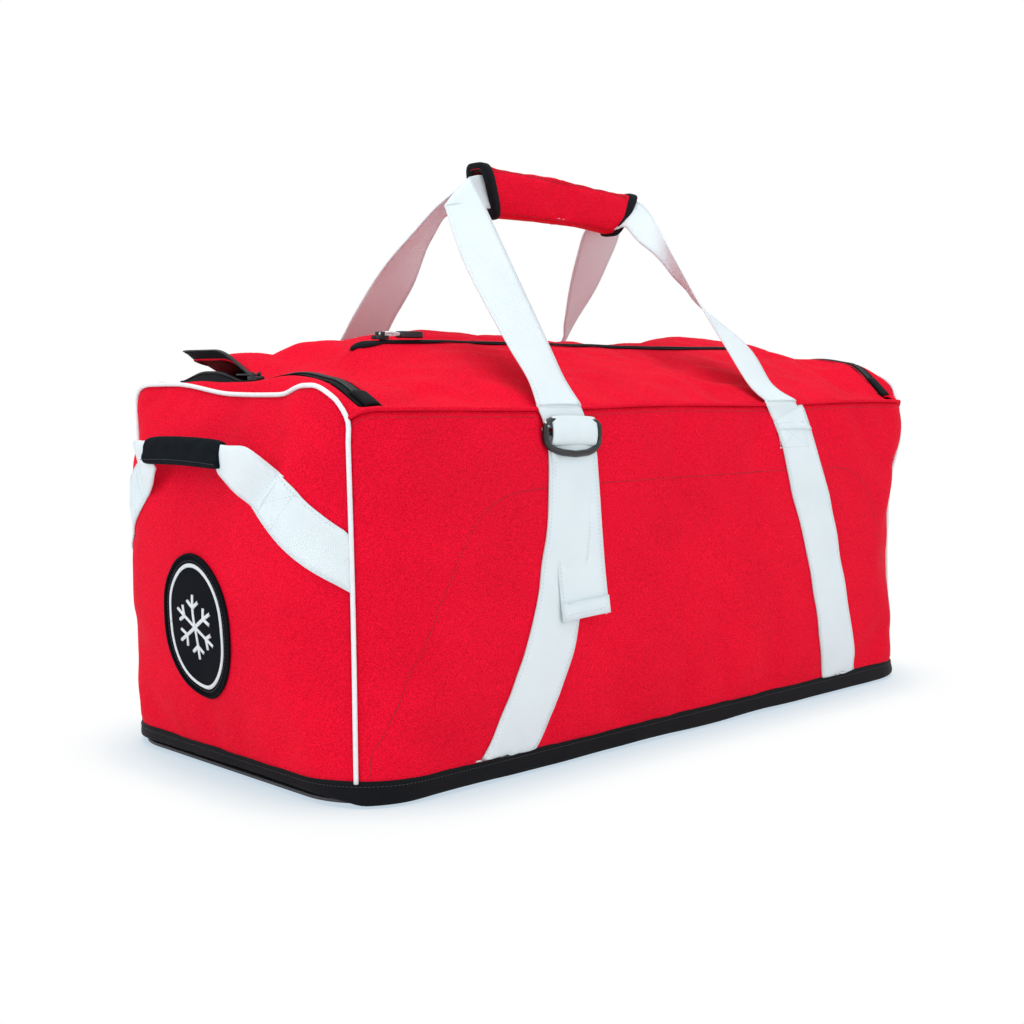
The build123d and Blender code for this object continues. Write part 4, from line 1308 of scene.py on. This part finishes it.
seam_straps = (("front_right", -1, "front_panel", (0.1440, 0.2100), (0.1300, 0.1880)),
               ("rear_left", 1, "rear_panel", (-0.2130, -0.1470), (-0.2090, -0.1430)),
               ("rear_right", 1, "rear_panel", (0.1390, 0.2050), (0.1290, 0.1930)))
over = pivot_y + roll_radius
for label, side, panel, low_x, top_x in seam_straps:
    low_y = panel_hit(panel, (sum(low_x) / 2, side * half_width, 0.332), 0.0026)[0].y
    pairs = [tuple((x, low_y, 0.332) for x in low_x),
             tuple((a * 0.45 + b * 0.55, side * (half_width + 0.0030), 0.352)
                   for a, b in zip(low_x, top_x)),
             tuple((x, side * (over + 0.0010), pivot_z - 0.003) for x in top_x),
             tuple((x, side * (over - 0.0012), pivot_z + 0.002) for x in top_x)]
    edged_strap(f"{label}_seam_webbing", pairs, "shell", cup=0.0003)

risers = {
    "front_left_riser": (-1, (-0.2440, -0.1830), "front_carry_loop", [
        ((-0.2410, -0.1980, 0.3920), (-0.1770, -0.1860, 0.3920)),
        ((-0.2390, -0.1630, 0.4310), (-0.1735, -0.1590, 0.4290)),
        ((-0.2300, -0.0960, 0.5080), (-0.1610, -0.0960, 0.5080)),
        ((-0.2120, -0.0460, 0.5700), (-0.1480, -0.0450, 0.5680)),
        ((-0.2110, -0.0440, 0.5730), (-0.1455, -0.0280, 0.5900)),
        ((-0.2100, -0.0420, 0.5740), (-0.1440, -0.0110, 0.6120)),
        ((-0.2050, -0.0370, 0.5735), (-0.1400, -0.0080, 0.6150)),
        ((-0.1650, -0.0180, 0.5780), (-0.1260, -0.0060, 0.6180)),
        ((-0.1150, -0.0110, 0.5820), (-0.1050, -0.0060, 0.6180)),
        ((-0.0900, -0.0110, 0.5820), (-0.0900, -0.0060, 0.6180))]),
    "front_right_riser": (-1, (0.1300, 0.1880), "front_carry_loop", [
        ((0.1180, -0.1990, 0.3850), (0.1780, -0.1880, 0.3850)),
        ((0.1140, -0.1660, 0.4310), (0.1760, -0.1540, 0.4290)),
        ((0.0990, -0.1420, 0.4770), (0.1490, -0.1010, 0.4790)),
        ((0.1040, -0.1160, 0.5090), (0.1440, -0.0840, 0.4990)),
        ((0.1150, -0.0850, 0.5420), (0.1290, -0.0740, 0.5160)),
        ((0.1280, -0.0580, 0.5680), (0.1140, -0.0600, 0.5400)),
        ((0.1430, -0.0260, 0.5950), (0.1010, -0.0420, 0.5590)),
        ((0.1370, -0.0130, 0.6090), (0.1000, -0.0240, 0.5760)),
        ((0.1250, -0.0100, 0.6080), (0.0950, -0.0120, 0.5730)),
        ((0.0900, -0.0060, 0.6090), (0.0900, -0.0110, 0.5750))]),
    "rear_left_riser": (1, (-0.2090, -0.1430), "rear_carry_loop", [
        ((-0.2030, 0.1860, 0.4000), (-0.1370, 0.1860, 0.4000)),
        ((-0.2000, 0.1500, 0.4410), (-0.1345, 0.1490, 0.4450)),
        ((-0.1990, 0.1300, 0.4650), (-0.1350, 0.1320, 0.4650)),
        ((-0.1950, 0.0970, 0.5030), (-0.1310, 0.1030, 0.5020)),
        ((-0.1920, 0.0680, 0.5290), (-0.1320, 0.0790, 0.5400)),
        ((-0.1840, 0.0410, 0.5540), (-0.1280, 0.0690, 0.5580)),
        ((-0.1730, 0.0180, 0.5790), (-0.1260, 0.0520, 0.5770)),
        ((-0.1520, 0.0060, 0.6000), (-0.1220, 0.0300, 0.5800)),
        ((-0.1250, 0.0060, 0.6170), (-0.1050, 0.0120, 0.5820)),
        ((-0.0900, 0.0060, 0.6180), (-0.0900, 0.0110, 0.5820))]),
    "rear_right_riser": (1, (0.1290, 0.1930), "rear_carry_loop", [
        ((0.1330, 0.1830, 0.4000), (0.1940, 0.1900, 0.4000)),
        ((0.1490, 0.1330, 0.4390), (0.1990, 0.1730, 0.4410)),
        ((0.1380, 0.1150, 0.4640), (0.1940, 0.1460, 0.4710)),
        ((0.1220, 0.0910, 0.5060), (0.1850, 0.1040, 0.5090)),
        ((0.1100, 0.0700, 0.5370), (0.1740, 0.0710, 0.5430)),
        ((0.0980, 0.0430, 0.5740), (0.1620, 0.0420, 0.5750)),
        ((0.0960, 0.0260, 0.5770), (0.1360, 0.0210, 0.5980)),
        ((0.0930, 0.0130, 0.5760), (0.1120, 0.0090, 0.6080)),
        ((0.0860, 0.0110, 0.5760), (0.0900, 0.0060, 0.6090))]),
}
for label, (side, (left, right), body, pairs) in risers.items():
    strap, edges = edged_strap(label, rolled_foot(side, left, right, 38) + pairs, body)
    sew_both_faces(body, edges)
    if label == "front_left_riser":
        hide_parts("front_loop_webbing")
    elif label == "rear_left_riser":
        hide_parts("rear_loop_webbing")

# Inside the grip each loop runs straight on from one riser to the other.
for loop in ("front", "rear"):
    start = risers[f"{loop}_left_riser"][3][-1]
    end = reversed(risers[f"{loop}_right_riser"][3][-1])
    edge_lines = [(Vector(one), Vector(other)) for one, other in zip(start, end)]
    pairs = [tuple(tuple(one.lerp(other, i / 4)) for one, other in edge_lines) for i in range(5)]
    edged_strap(f"{loop}_loop_middle", pairs, f"{loop}_carry_loop")

# ---- Padded grip round the carry loops -----------------------------------------------
# A foam-filled sleeve of the red polyester, closed round both loops, stitched twice along
# its top edge and bound in black at both mouths.

wrap_half = 0.1185
wrap_height = wrap_high.z - wrap_low.z
wrap_depth = wrap_high.y - wrap_low.y
wrap_around = 40
wrap_along = 56


def wrap_section(turn, grow=0.0):
    """Cross-section of the sleeve: a flattened loop with round corners."""
    c, s = math.cos(turn), math.sin(turn)
    y = math.copysign(abs(c) ** 0.50, c) * (wrap_depth / 2 - 0.004 + grow)
    z = math.copysign(abs(s) ** 0.62, s) * (wrap_height / 2 - 0.0018 + grow)
    return y, z


def wrap_point(share, turn, grow=0.0):
    """A place on the sleeve, from its left mouth (-1) to its right one (1)."""
    y, z = wrap_section(turn, grow)
    tilt = z / wrap_height
    slant = -0.018 * tilt if share < 0 else 0.036 * tilt
    x = wrap_half * share + slant * abs(share)
    arch = 0.002 * (1 - share * share) - 0.0050 - 0.0045 * share
    pinch = 1 - 0.07 * share
    return Vector((x, y * pinch, grip_middle + z * pinch + arch))


def face_outward(made, weld=0.0):
    """Makes a closed mesh's faces look outwards, after joining points that coincide."""
    shape = bmesh.new()
    shape.from_mesh(made.data)
    if weld:
        bmesh.ops.remove_doubles(shape, verts=shape.verts, dist=weld)
    bmesh.ops.recalc_face_normals(shape, faces=shape.faces)
    shape.to_mesh(made.data)
    shape.free()


points, faces = [], []
for i in range(wrap_along + 1):
    for k in range(wrap_around):
        points.append(wrap_point(2 * i / wrap_along - 1, 2 * math.pi * k / wrap_around))
for i in range(wrap_along):
    for k in range(wrap_around):
        a, b = i * wrap_around + k, i * wrap_around + (k + 1) % wrap_around
        faces.append((a, a + wrap_around, b + wrap_around, b))
wrap = mesh_object("carry_grip_sleeve", points, faces, red_polyester)
held = {}
for i in range(wrap_along + 1):
    for k in range(wrap_around):
        if i in (0, wrap_along) or k in (8, 9):
            held[i * wrap_around + k] = 1.0
settle(wrap, held, growth=0.015, pressure=0.8, stiffness=3.0, limit=0.0020)
smooth_once(wrap)
bake(wrap)
face_outward(wrap)
wrap_tree = surface_tree(wrap)
if sum((p.center - Vector((p.center.x, 0, grip_middle))).dot(p.normal) for p in wrap.data.polygons) < 0:
    wrap.data.flip_normals()
thicken(wrap, 0.0045, red_backing)
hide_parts("handle_wrap")
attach(wrap, "front_carry_loop")

black_binding = yarn_fabric("black_binding_tape", "#10141B", "#06080C", 0.0013, 0.03, level=0.15)
binding_profile = ((1.0, -0.0065), (1.012, -0.003), (1.012, 0.0), (1.004, 0.0024), (0.985, 0.0029),
                   (0.93, 0.0028), (0.915, 0.0010), (0.915, -0.0035))
for end, side in (("left", -1), ("right", 1)):
    rows = []
    for k in range(wrap_around * 2 + 1):
        turn = 2 * math.pi * (k % (wrap_around * 2)) / (wrap_around * 2)
        rows.append([wrap_point(side * share, turn, grow) for share, grow in binding_profile])
    binding = ribbon(f"grip_{end}_binding", rows, black_binding)
    face_outward(binding, weld=0.0002)
    thicken(binding, 0.0008)
    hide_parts(f"wrap_{end}_binding")
    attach(binding, "front_carry_loop")

for turn in (math.radians(127), math.radians(137), math.radians(232)):
    line = []
    for i in range(71):
        place, normal, _, _ = wrap_tree.find_nearest(wrap_point(0.88 * (2 * i / 70 - 1), turn))
        out = place - Vector((place.x, 0, grip_middle))
        normal = normal if normal.dot(out) > 0 else -normal
        line.append((place + normal * 0.0003, normal))
    sew("front_carry_loop", "dark red", line)

# ---- Strap adjuster, its loop and the hanging tail -----------------------------------
# Black acetal three-bar slide. The front left strap is sewn round its lower bar; the riser
# comes down in front of the seam, over the middle bar, and hangs as a stitched tail.

acetal = grained_finish("black_moulded_acetal", "#0F1114", "#1E2126", 420.0, 2.0, (0.15, 0.0002),
                        Roughness=0.32)

slide_x = -0.2010
slide_z = (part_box("strap_adjuster")[0].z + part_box("strap_adjuster")[1].z) / 2
slide_half = 0.0385
slide_y = -half_width - webbing_thickness - 0.0045
slide_bar = 0.0034
slide_tilt = math.radians(-2.0)


def slide_place(u, v, out=0.0):
    """A place in the adjuster's plane, with its slight tilt."""
    return Vector((slide_x + u * math.cos(slide_tilt) - v * math.sin(slide_tilt), slide_y - out,
                   slide_z + u * math.sin(slide_tilt) + v * math.cos(slide_tilt)))


outline = []
for k in range(64):
    turn = 2 * math.pi * k / 64
    c, s_ = math.cos(turn), math.sin(turn)
    u = math.copysign(abs(c) ** 0.35, c) * slide_half
    v = math.copysign(abs(s_) ** 0.55, s_) * 0.0135
    bow = 0.0065 * (1 - (u / slide_half) ** 2) if s_ < 0 else 0.0
    outline.append(slide_place(u, v - bow, 0.0022 * (u / slide_half) ** 2 + bow * 1.1))
outline.append(outline[0].copy())
frame_bar = tube("strap_adjuster_frame", outline, slide_bar, acetal, sides=12)
bar_line = [slide_place(-slide_half + 2 * slide_half * i / 12, 0.0, 0.0012) for i in range(13)]
middle_bar = tube("strap_adjuster_middle_bar", bar_line, 0.0020, acetal)
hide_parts("strap_adjuster")
for piece in (frame_bar, middle_bar):
    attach(piece, "shell")

fold_profile = ((0.0165, 0.0010), (0.0125, 0.0026), (0.0080, 0.0043), (0.0030, 0.0054),
                (-0.0020, 0.0056), (-0.0065, 0.0049), (-0.0100, 0.0036), (-0.0112, 0.0018),
                (-0.0105, 0.0000), (-0.0080, -0.0014))
rows = []
for v, out in fold_profile:
    rows.append([slide_place(u * 0.0315, v + 0.0010 * (1 - u * u), out + 0.0012 * (1 - u * u))
                 for u in (2 * k / (strap_samples - 1) - 1 for k in range(strap_samples))])
keeper = ribbon("adjuster_webbing_fold", rows, white_webbing)
face_towards(keeper, Vector((0, -1, 0)))
smooth_once(keeper)
thicken(keeper, webbing_thickness, outward=True)
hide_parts("adjuster_keeper")
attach(keeper, "shell")

entry = [((left, y, z), (right, y, z)) for left, right, y, z in (
    (-0.2370, -0.1780, -half_width - 0.0042, slide_z + 0.0060),
    (-0.2400, -0.1800, -half_width - 0.0050, slide_z + 0.0150),
    (-0.2430, -0.1825, -over - 0.0012, pivot_z - 0.004),
    (-0.2440, -0.1830, -over + 0.0014, pivot_z + 0.002))]
edged_strap("adjuster_entry_webbing", entry, "shell", cup=0.0003)
loop_back = [((-0.2350, -half_width - 0.0030, slide_z + 0.0100), (0, -0.3, 1), 0.010),
             ((-0.2405, -half_width - 0.0062, slide_z + 0.0085), (0, -0.3, 1), 0.011),
             ((-0.2390, -half_width - 0.0090, slide_z + 0.0050), (0, -0.3, 1), 0.009)]
free_strap("adjuster_webbing_ear", loop_back, "shell", cup=0.0008)

tail_low, tail_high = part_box("strap_tail")
tail_y = (tail_low.y + tail_high.y) / 2
tail_stations = [
    ((-0.2010, tail_y + 0.0022, tail_high.z - 0.0005), (1, 0, 0.02), 0.062),
    ((-0.2005, tail_y - 0.0005, tail_high.z - 0.012), (1, 0, 0.02), 0.064),
    ((-0.1985, tail_y - 0.0025, tail_high.z - 0.060), (1, -0.03, 0.02), 0.0645),
    ((-0.1960, tail_y - 0.0060, tail_high.z - 0.120), (1, -0.05, 0.02), 0.064),
    ((-0.1930, tail_y - 0.0105, tail_low.z + 0.004), (1, -0.07, 0.03), 0.063)]
(tail_strap, tail_edges), tail_rows = free_strap(
    "strap_tail_webbing", tail_stations, "strap_tail", cup=0.0030)
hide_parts("strap_tail")
hem_rows = []
for row, way in list(zip(tail_rows, tangents([r[4] for r in tail_rows])))[-4:]:
    out = (row[-1] - row[0]).cross(way).normalized()
    out = out if out.y < 0 else -out
    hem_rows.append([p + out * 0.0019 for p in row])
hem = ribbon("strap_tail_hem", hem_rows, white_webbing)
thicken(hem, webbing_thickness).offset = 0.0
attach(hem, "strap_tail")
for row in (hem_rows[0], hem_rows[-2]):
    sew("strap_tail", "white", [(row[1].lerp(row[-2], i / 14) + Vector((0, -0.0011, 0)), Vector((0, -1, 0)))
                                for i in range(15)])
sew_both_faces("strap_tail", tail_edges)

# ---- End handles ---------------------------------------------------------------------
# A short haul handle on each end: white webbing sewn from the corner seams up to two
# stitched boxes, then free, and folded through a padded black grip.

grip_nylon = fabric("black_textured_grip_nylon", "#10181F", "#05080D", 0.03, speck=0.8, rough=0.8)
handle_upper = ((0.1894, 0.2415), (0.1860, 0.2450), (0.1660, 0.2670), (0.1520, 0.2810),
                (0.1400, 0.2930), (0.1215, 0.3065))
handle_lower = ((0.1894, 0.1840), (0.1880, 0.1870), (0.1740, 0.2030), (0.1570, 0.2175),
                (0.1220, 0.2450), (0.0900, 0.2740))
grip_half = 0.0670
grip_lean = 0.20
along, around = 44, 28
for end, side in (("left", -1), ("right", 1)):
    panel = f"{end}_end_panel"
    grip_low, grip_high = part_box(f"{end}_handle_grip")
    grip_x = (grip_low.x + grip_high.x) / 2 - side * 0.0020
    grip_z = (grip_low.z + grip_high.z) / 2 - 0.0020
    for position, across in (("front", -1), ("rear", 1)):
        span = [8] * (len(handle_upper) - 1)
        sides = [spline([(side * half_length, across * y, z) for y, z in edge], span)
                 for edge in (handle_upper, handle_lower)]
        anchor = sewn_strip(f"{end}_handle_{position}_webbing", panel, sides)
        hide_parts(f"{end}_handle_{position}_anchor")
        low = [(side * half_length, across * 0.1180, 0.2550), (side * half_length, across * 0.1420, 0.2860)]
        high = [(side * half_length, across * 0.0950, 0.2740), (side * half_length, across * 0.1220, 0.3040)]
        cross_stitch(panel, low, high)
        upper, lower = [panel_hit(panel, (side * half_length, across * y, z), 0.0013)[0]
                        for y, z in (handle_upper[-1], handle_lower[-1])]
        before = [panel_hit(panel, (side * half_length, across * y, z), 0.0013)[0]
                  for y, z in ((0.1290, 0.3030), (0.0990, 0.2660))]
        pull = across * (1.0 if position == "front" else 0.88)
        pairs = [before, (upper, lower)]
        for (back, y, z), (low_back, low_y, low_z) in (
            ((0.006, pull * 0.1140, 0.3230), (0.007, pull * 0.0780, 0.2860)),
            ((0.001, pull * 0.1010, 0.3300), (0.003, pull * 0.0660, 0.2970)),
            ((0.0, pull * 0.0800, 0.3300), (0.001, pull * 0.0590, 0.3040)),
            ((0.0, across * 0.0640, grip_z + 0.0100), (0.0, across * 0.0560, grip_z - 0.0100)),
            ((0.0, across * 0.0500, grip_z + 0.0100), (0.0, across * 0.0500, grip_z - 0.0100)),
        ):
            pairs.append(((grip_x - side * back, y, z), (grip_x - side * low_back, low_y, low_z)))
        leg, _ = edged_strap(f"{end}_handle_{position}_leg", pairs, "shell", cup=side * across * -0.0022)
        bake(leg)
        leg.parent = None
        root = (upper + lower) / 2
        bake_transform(leg)
        if position == "front":
            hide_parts(f"{end}_handle_loop")

    points, faces = [], []
    for i in range(along + 1):
        share = 2 * i / along - 1
        mouth = 1 - 0.16 * abs(share) ** 10
        for k in range(around):
            turn = 2 * math.pi * k / around
            c, s_ = math.cos(turn), math.sin(turn)
            thick = math.copysign(abs(c) ** 0.75, c) * 0.0072 * mouth
            high = math.copysign(abs(s_) ** 0.75, s_) * 0.0138 * mouth
            crease = 0.0022 * math.exp(-((high + 0.0015) / 0.0022) ** 2) if c * side > 0 else 0.0
            sway = 0.0011 * noise.noise(Vector((share * 4, turn, side * 3.0)))
            out = math.copysign(thick, c * side) - crease + sway - grip_lean * high
            points.append(Vector((grip_x + side * out, share * grip_half,
                                  grip_z + high + 0.002 * (1 - share * share))))
    for i in range(along):
        for k in range(around):
            a, b = i * around + k, i * around + (k + 1) % around
            faces.append((a, b, b + around, a + around))
    faces.append(tuple(reversed(range(around))))
    faces.append(tuple(range(along * around, (along + 1) * around)))
    grip = mesh_object(f"{end}_handle_grip_sleeve", points, faces, grip_nylon)
    face_outward(grip)
    smooth_once(grip)
    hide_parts(f"{end}_handle_grip")
    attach(grip, f"{end}_handle")
    seam = []
    for i in range(31):
        y = grip_half * 0.96 * (2 * i / 30 - 1)
        place = Vector((grip_x + side * (0.0066 + grip_lean * 0.0085), y,
                        grip_z - 0.0085 + 0.002 * (1 - (y / grip_half) ** 2)))
        seam.append((place, Vector((side, 0, -0.4)).normalized()))
    sew(f"{end}_handle", "black", seam)

# ---- Badge ---------------------------------------------------------------------------
# An oval black twill patch with an overlocked black rim, a raised white ring and a plain
# six-armed snowflake, sewn to the left end.

badge_low, badge_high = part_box("badge_patch")
badge_middle = (badge_low + badge_high) / 2
badge_half_y = (badge_high.y - badge_low.y) / 2
badge_half_z = (badge_high.z - badge_low.z) / 2
twill, tree = new_material("black_cotton_twill")
place = add_node(tree, "ShaderNodeTexCoord").outputs["Object"]
slope = add_node(tree, "ShaderNodeMapping", Vector=place, Rotation=(math.radians(45), 0, 0)).outputs[0]
ribs = add_node(tree, "ShaderNodeTexWave", {"bands_direction": "Z"}, Vector=slope, Scale=260.0,
                Distortion=0.6).outputs[0]
shade = add_node(tree, "ShaderNodeMix", {"data_type": "RGBA"}, _0=ribs,
                 _6=linear_colour("#020409"), _7=linear_colour("#0A0F18")).outputs[2]
bump = add_node(tree, "ShaderNodeBump", Height=ribs, Strength=0.5, Distance=0.0005).outputs[0]
shader = add_node(tree, "ShaderNodeBsdfPrincipled", Base_Color=shade, Roughness=0.82, Normal=bump,
                  Specular_IOR_Level=0.1)
add_node(tree, "ShaderNodeOutputMaterial", Surface=shader.outputs[0])
satin = yarn_fabric("white_embroidery_thread", "#EEF3F6", "#C9D3DB", 0.0009, 0.25, rough=0.45, level=0.5)


def on_badge(y, z, lift):
    """A place over the left end's cloth, the badge's own thickness included."""
    return panel_hit("left_end_panel", (-half_length, y, z), lift)


points, faces = [], []
rings, spokes = 10, 64
points.append(on_badge(badge_middle.y, badge_middle.z, 0.0018)[0])
for r in range(1, rings + 1):
    for k in range(spokes):
        turn = 2 * math.pi * k / spokes
        share = r / rings
        points.append(on_badge(badge_middle.y + badge_half_y * share * math.cos(turn),
                               badge_middle.z + badge_half_z * share * math.sin(turn),
                               0.0018 if r < rings else 0.0012)[0])
for k in range(spokes):
    faces.append((0, 1 + k, 1 + (k + 1) % spokes))
for r in range(rings - 1):
    for k in range(spokes):
        a, b = 1 + r * spokes + k, 1 + r * spokes + (k + 1) % spokes
        faces.append((a, a + spokes, b + spokes, b))
patch = mesh_object("badge_twill_patch", points, faces, twill)
face_outward(patch)
face_towards(patch, Vector((-1, 0, 0)))
thicken(patch, 0.0016)
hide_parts("badge_patch")
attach(patch, "shell")


def badge_oval(inset, lift, count=150):
    """A closed line round the badge, in from its edge."""
    line = []
    for k in range(count + 1):
        turn = 2 * math.pi * k / count
        line.append(on_badge(badge_middle.y + (badge_half_y - inset) * math.cos(turn),
                             badge_middle.z + (badge_half_z - inset) * math.sin(turn), lift))
    return line


badge_rim = tube("badge_merrowed_edge", [p for p, _ in badge_oval(0.0004, 0.0016)], 0.0017, twill, sides=10)
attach(badge_rim, "shell")
ring_lines = [[p for p, _ in badge_oval(inset, lift)]
              for inset, lift in ((0.0085, 0.0019), (0.0105, 0.0028), (0.0125, 0.0019))]
ring = ribbon("badge_embroidered_ring", [list(row) for row in zip(*ring_lines)], satin)
face_towards(ring, Vector((-1, 0, 0)))
thicken(ring, 0.0006)
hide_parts("badge_ring")
flake_lines = []
arm_length, barb_length, barb_at, thread_half = 0.032, 0.011, 0.019, 0.0020
for k in range(6):
    turn = math.radians(90 + 60 * k)
    way = Vector((0, math.cos(turn), math.sin(turn)))
    root = badge_middle + way * barb_at
    flake_lines.append((badge_middle.copy(), badge_middle + way * arm_length))
    for bend in (math.radians(55), math.radians(-55)):
        barb = Vector((0, math.cos(turn + bend), math.sin(turn + bend)))
        flake_lines.append((root, root + barb * barb_length))
points, faces = [], []
for a, b in flake_lines:
    way = (b - a).normalized()
    across = Vector((0, -way.z, way.y))
    first = len(points)
    steps = max(4, round((b - a).length / 0.003))
    for i in range(steps + 1):
        middle = a.lerp(b, i / steps)
        for u, lift in ((-1, 0.0017), (-0.5, 0.0026), (0, 0.0030), (0.5, 0.0026), (1, 0.0017)):
            spot = middle + across * u * thread_half
            points.append(on_badge(spot.y, spot.z, lift)[0])
    for i in range(steps):
        for k in range(4):
            c = first + i * 5 + k
            faces.append((c, c + 1, c + 6, c + 5))
flake = mesh_object("badge_embroidered_snowflake", points, faces, satin)
face_towards(flake, Vector((-1, 0, 0)))
flake_uv = flake.data.uv_layers.new(name="cloth")
for loop in flake.data.loops:
    spot = flake.data.vertices[loop.vertex_index].co
    flake_uv.data[loop.index].uv = (spot.y, spot.z)
thicken(flake, 0.0006)
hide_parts("badge_snowflake")
for piece in (ring, flake):
    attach(piece, "shell")
sew("shell", "black", badge_oval(0.0060, 0.0020, 180))

# ---- Stitching -----------------------------------------------------------------------
# Bonded nylon thread. The inside pocket's seam shows on the front as a long arch; the
# panels are topstitched beside the top seams and the base band.

arch_points = [(-0.4400, 0.0290), (-0.4390, 0.0480), (-0.4260, 0.0740), (-0.4090, 0.1100), (-0.3880, 0.1570),
               (-0.3700, 0.1940), (-0.3500, 0.2310), (-0.3280, 0.2620), (-0.3000, 0.2780), (-0.2600, 0.2840),
               (-0.1500, 0.2860), (0.0, 0.2860)]
arch_points += [(-x, z) for x, z in reversed(arch_points[:-1])]
arch = smooth_path([(x, -half_width, z) for x, z in arch_points], 0.004)
sew("shell", "dark red", [panel_hit("front_panel", p, 0.0001) for p in arch])

for own in panel_columns.values():
    line = []
    for column in own + [(own[-1] + 1) % columns]:
        normal = plan[column][1]
        line.append((wall_shape[column * (wall_rows + 1)] + normal * 0.0017 - up * 0.0028, normal))
    sew("shell", "black", line)
for panel in ("front_panel", "rear_panel"):
    line = []
    for column in panel_columns[panel]:
        top = top_point(column)
        line.append(panel_hit(panel, (top.x, top.y, top.z - 0.0055), 0.0003))
    sew("shell", "red", line)
line = []
for p in zip_outline(-lid_inset - 0.0025):
    hit, normal, _, _ = lid_tree.ray_cast(Vector((p.x, p.y, 0.7)), -up)
    if hit and normal.z > 0.2:
        line.append((hit + normal * 0.0003, normal))
sew("lid", "red", line)

stitch_outline = [(0.00036 * math.cos(a), 0.00030 * math.sin(a)) for a in (math.pi / 3 * k for k in range(6))]
stitch_rows = ((-0.0014, 0.3), (-0.0010, 1.0), (0.0010, 1.0), (0.0014, 0.3))
stitch = solid_from_profile("one_stitch", stitch_outline, stitch_rows)
keep_out_of_view(stitch)
thread_colours = {"white": ("white_nylon_thread", "#D9E2E8", "#B9C6CF", "white_webbing"),
                  "red": ("red_nylon_thread", "#C21229", "#8E0B1C", "red_polyester"),
                  "dark red": ("dark_red_nylon_thread", "#8E0B1C", "#5E0712", "red_polyester"),
                  "black": ("black_nylon_thread", "#2A2E34", "#15181C", "black_binding")}
thread_trees = {}
for colour, (name, light, dark, _) in thread_colours.items():
    thread = grained_finish(name, dark, light, 1400.0, 1.0, Roughness=0.5)
    thread_trees[colour] = repeat_tree(f"{name}_stitches", stitch, thread)
for (body, colour), lines in stitch_lines.items():
    name, _, _, slot = thread_colours[colour]
    seam = repeat_along(f"{body}_{name}_stitches", [[p for p, _ in line] for line in lines],
                        [[n for _, n in line] for line in lines], thread_trees[colour], 0.0040)
    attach(seam, body)
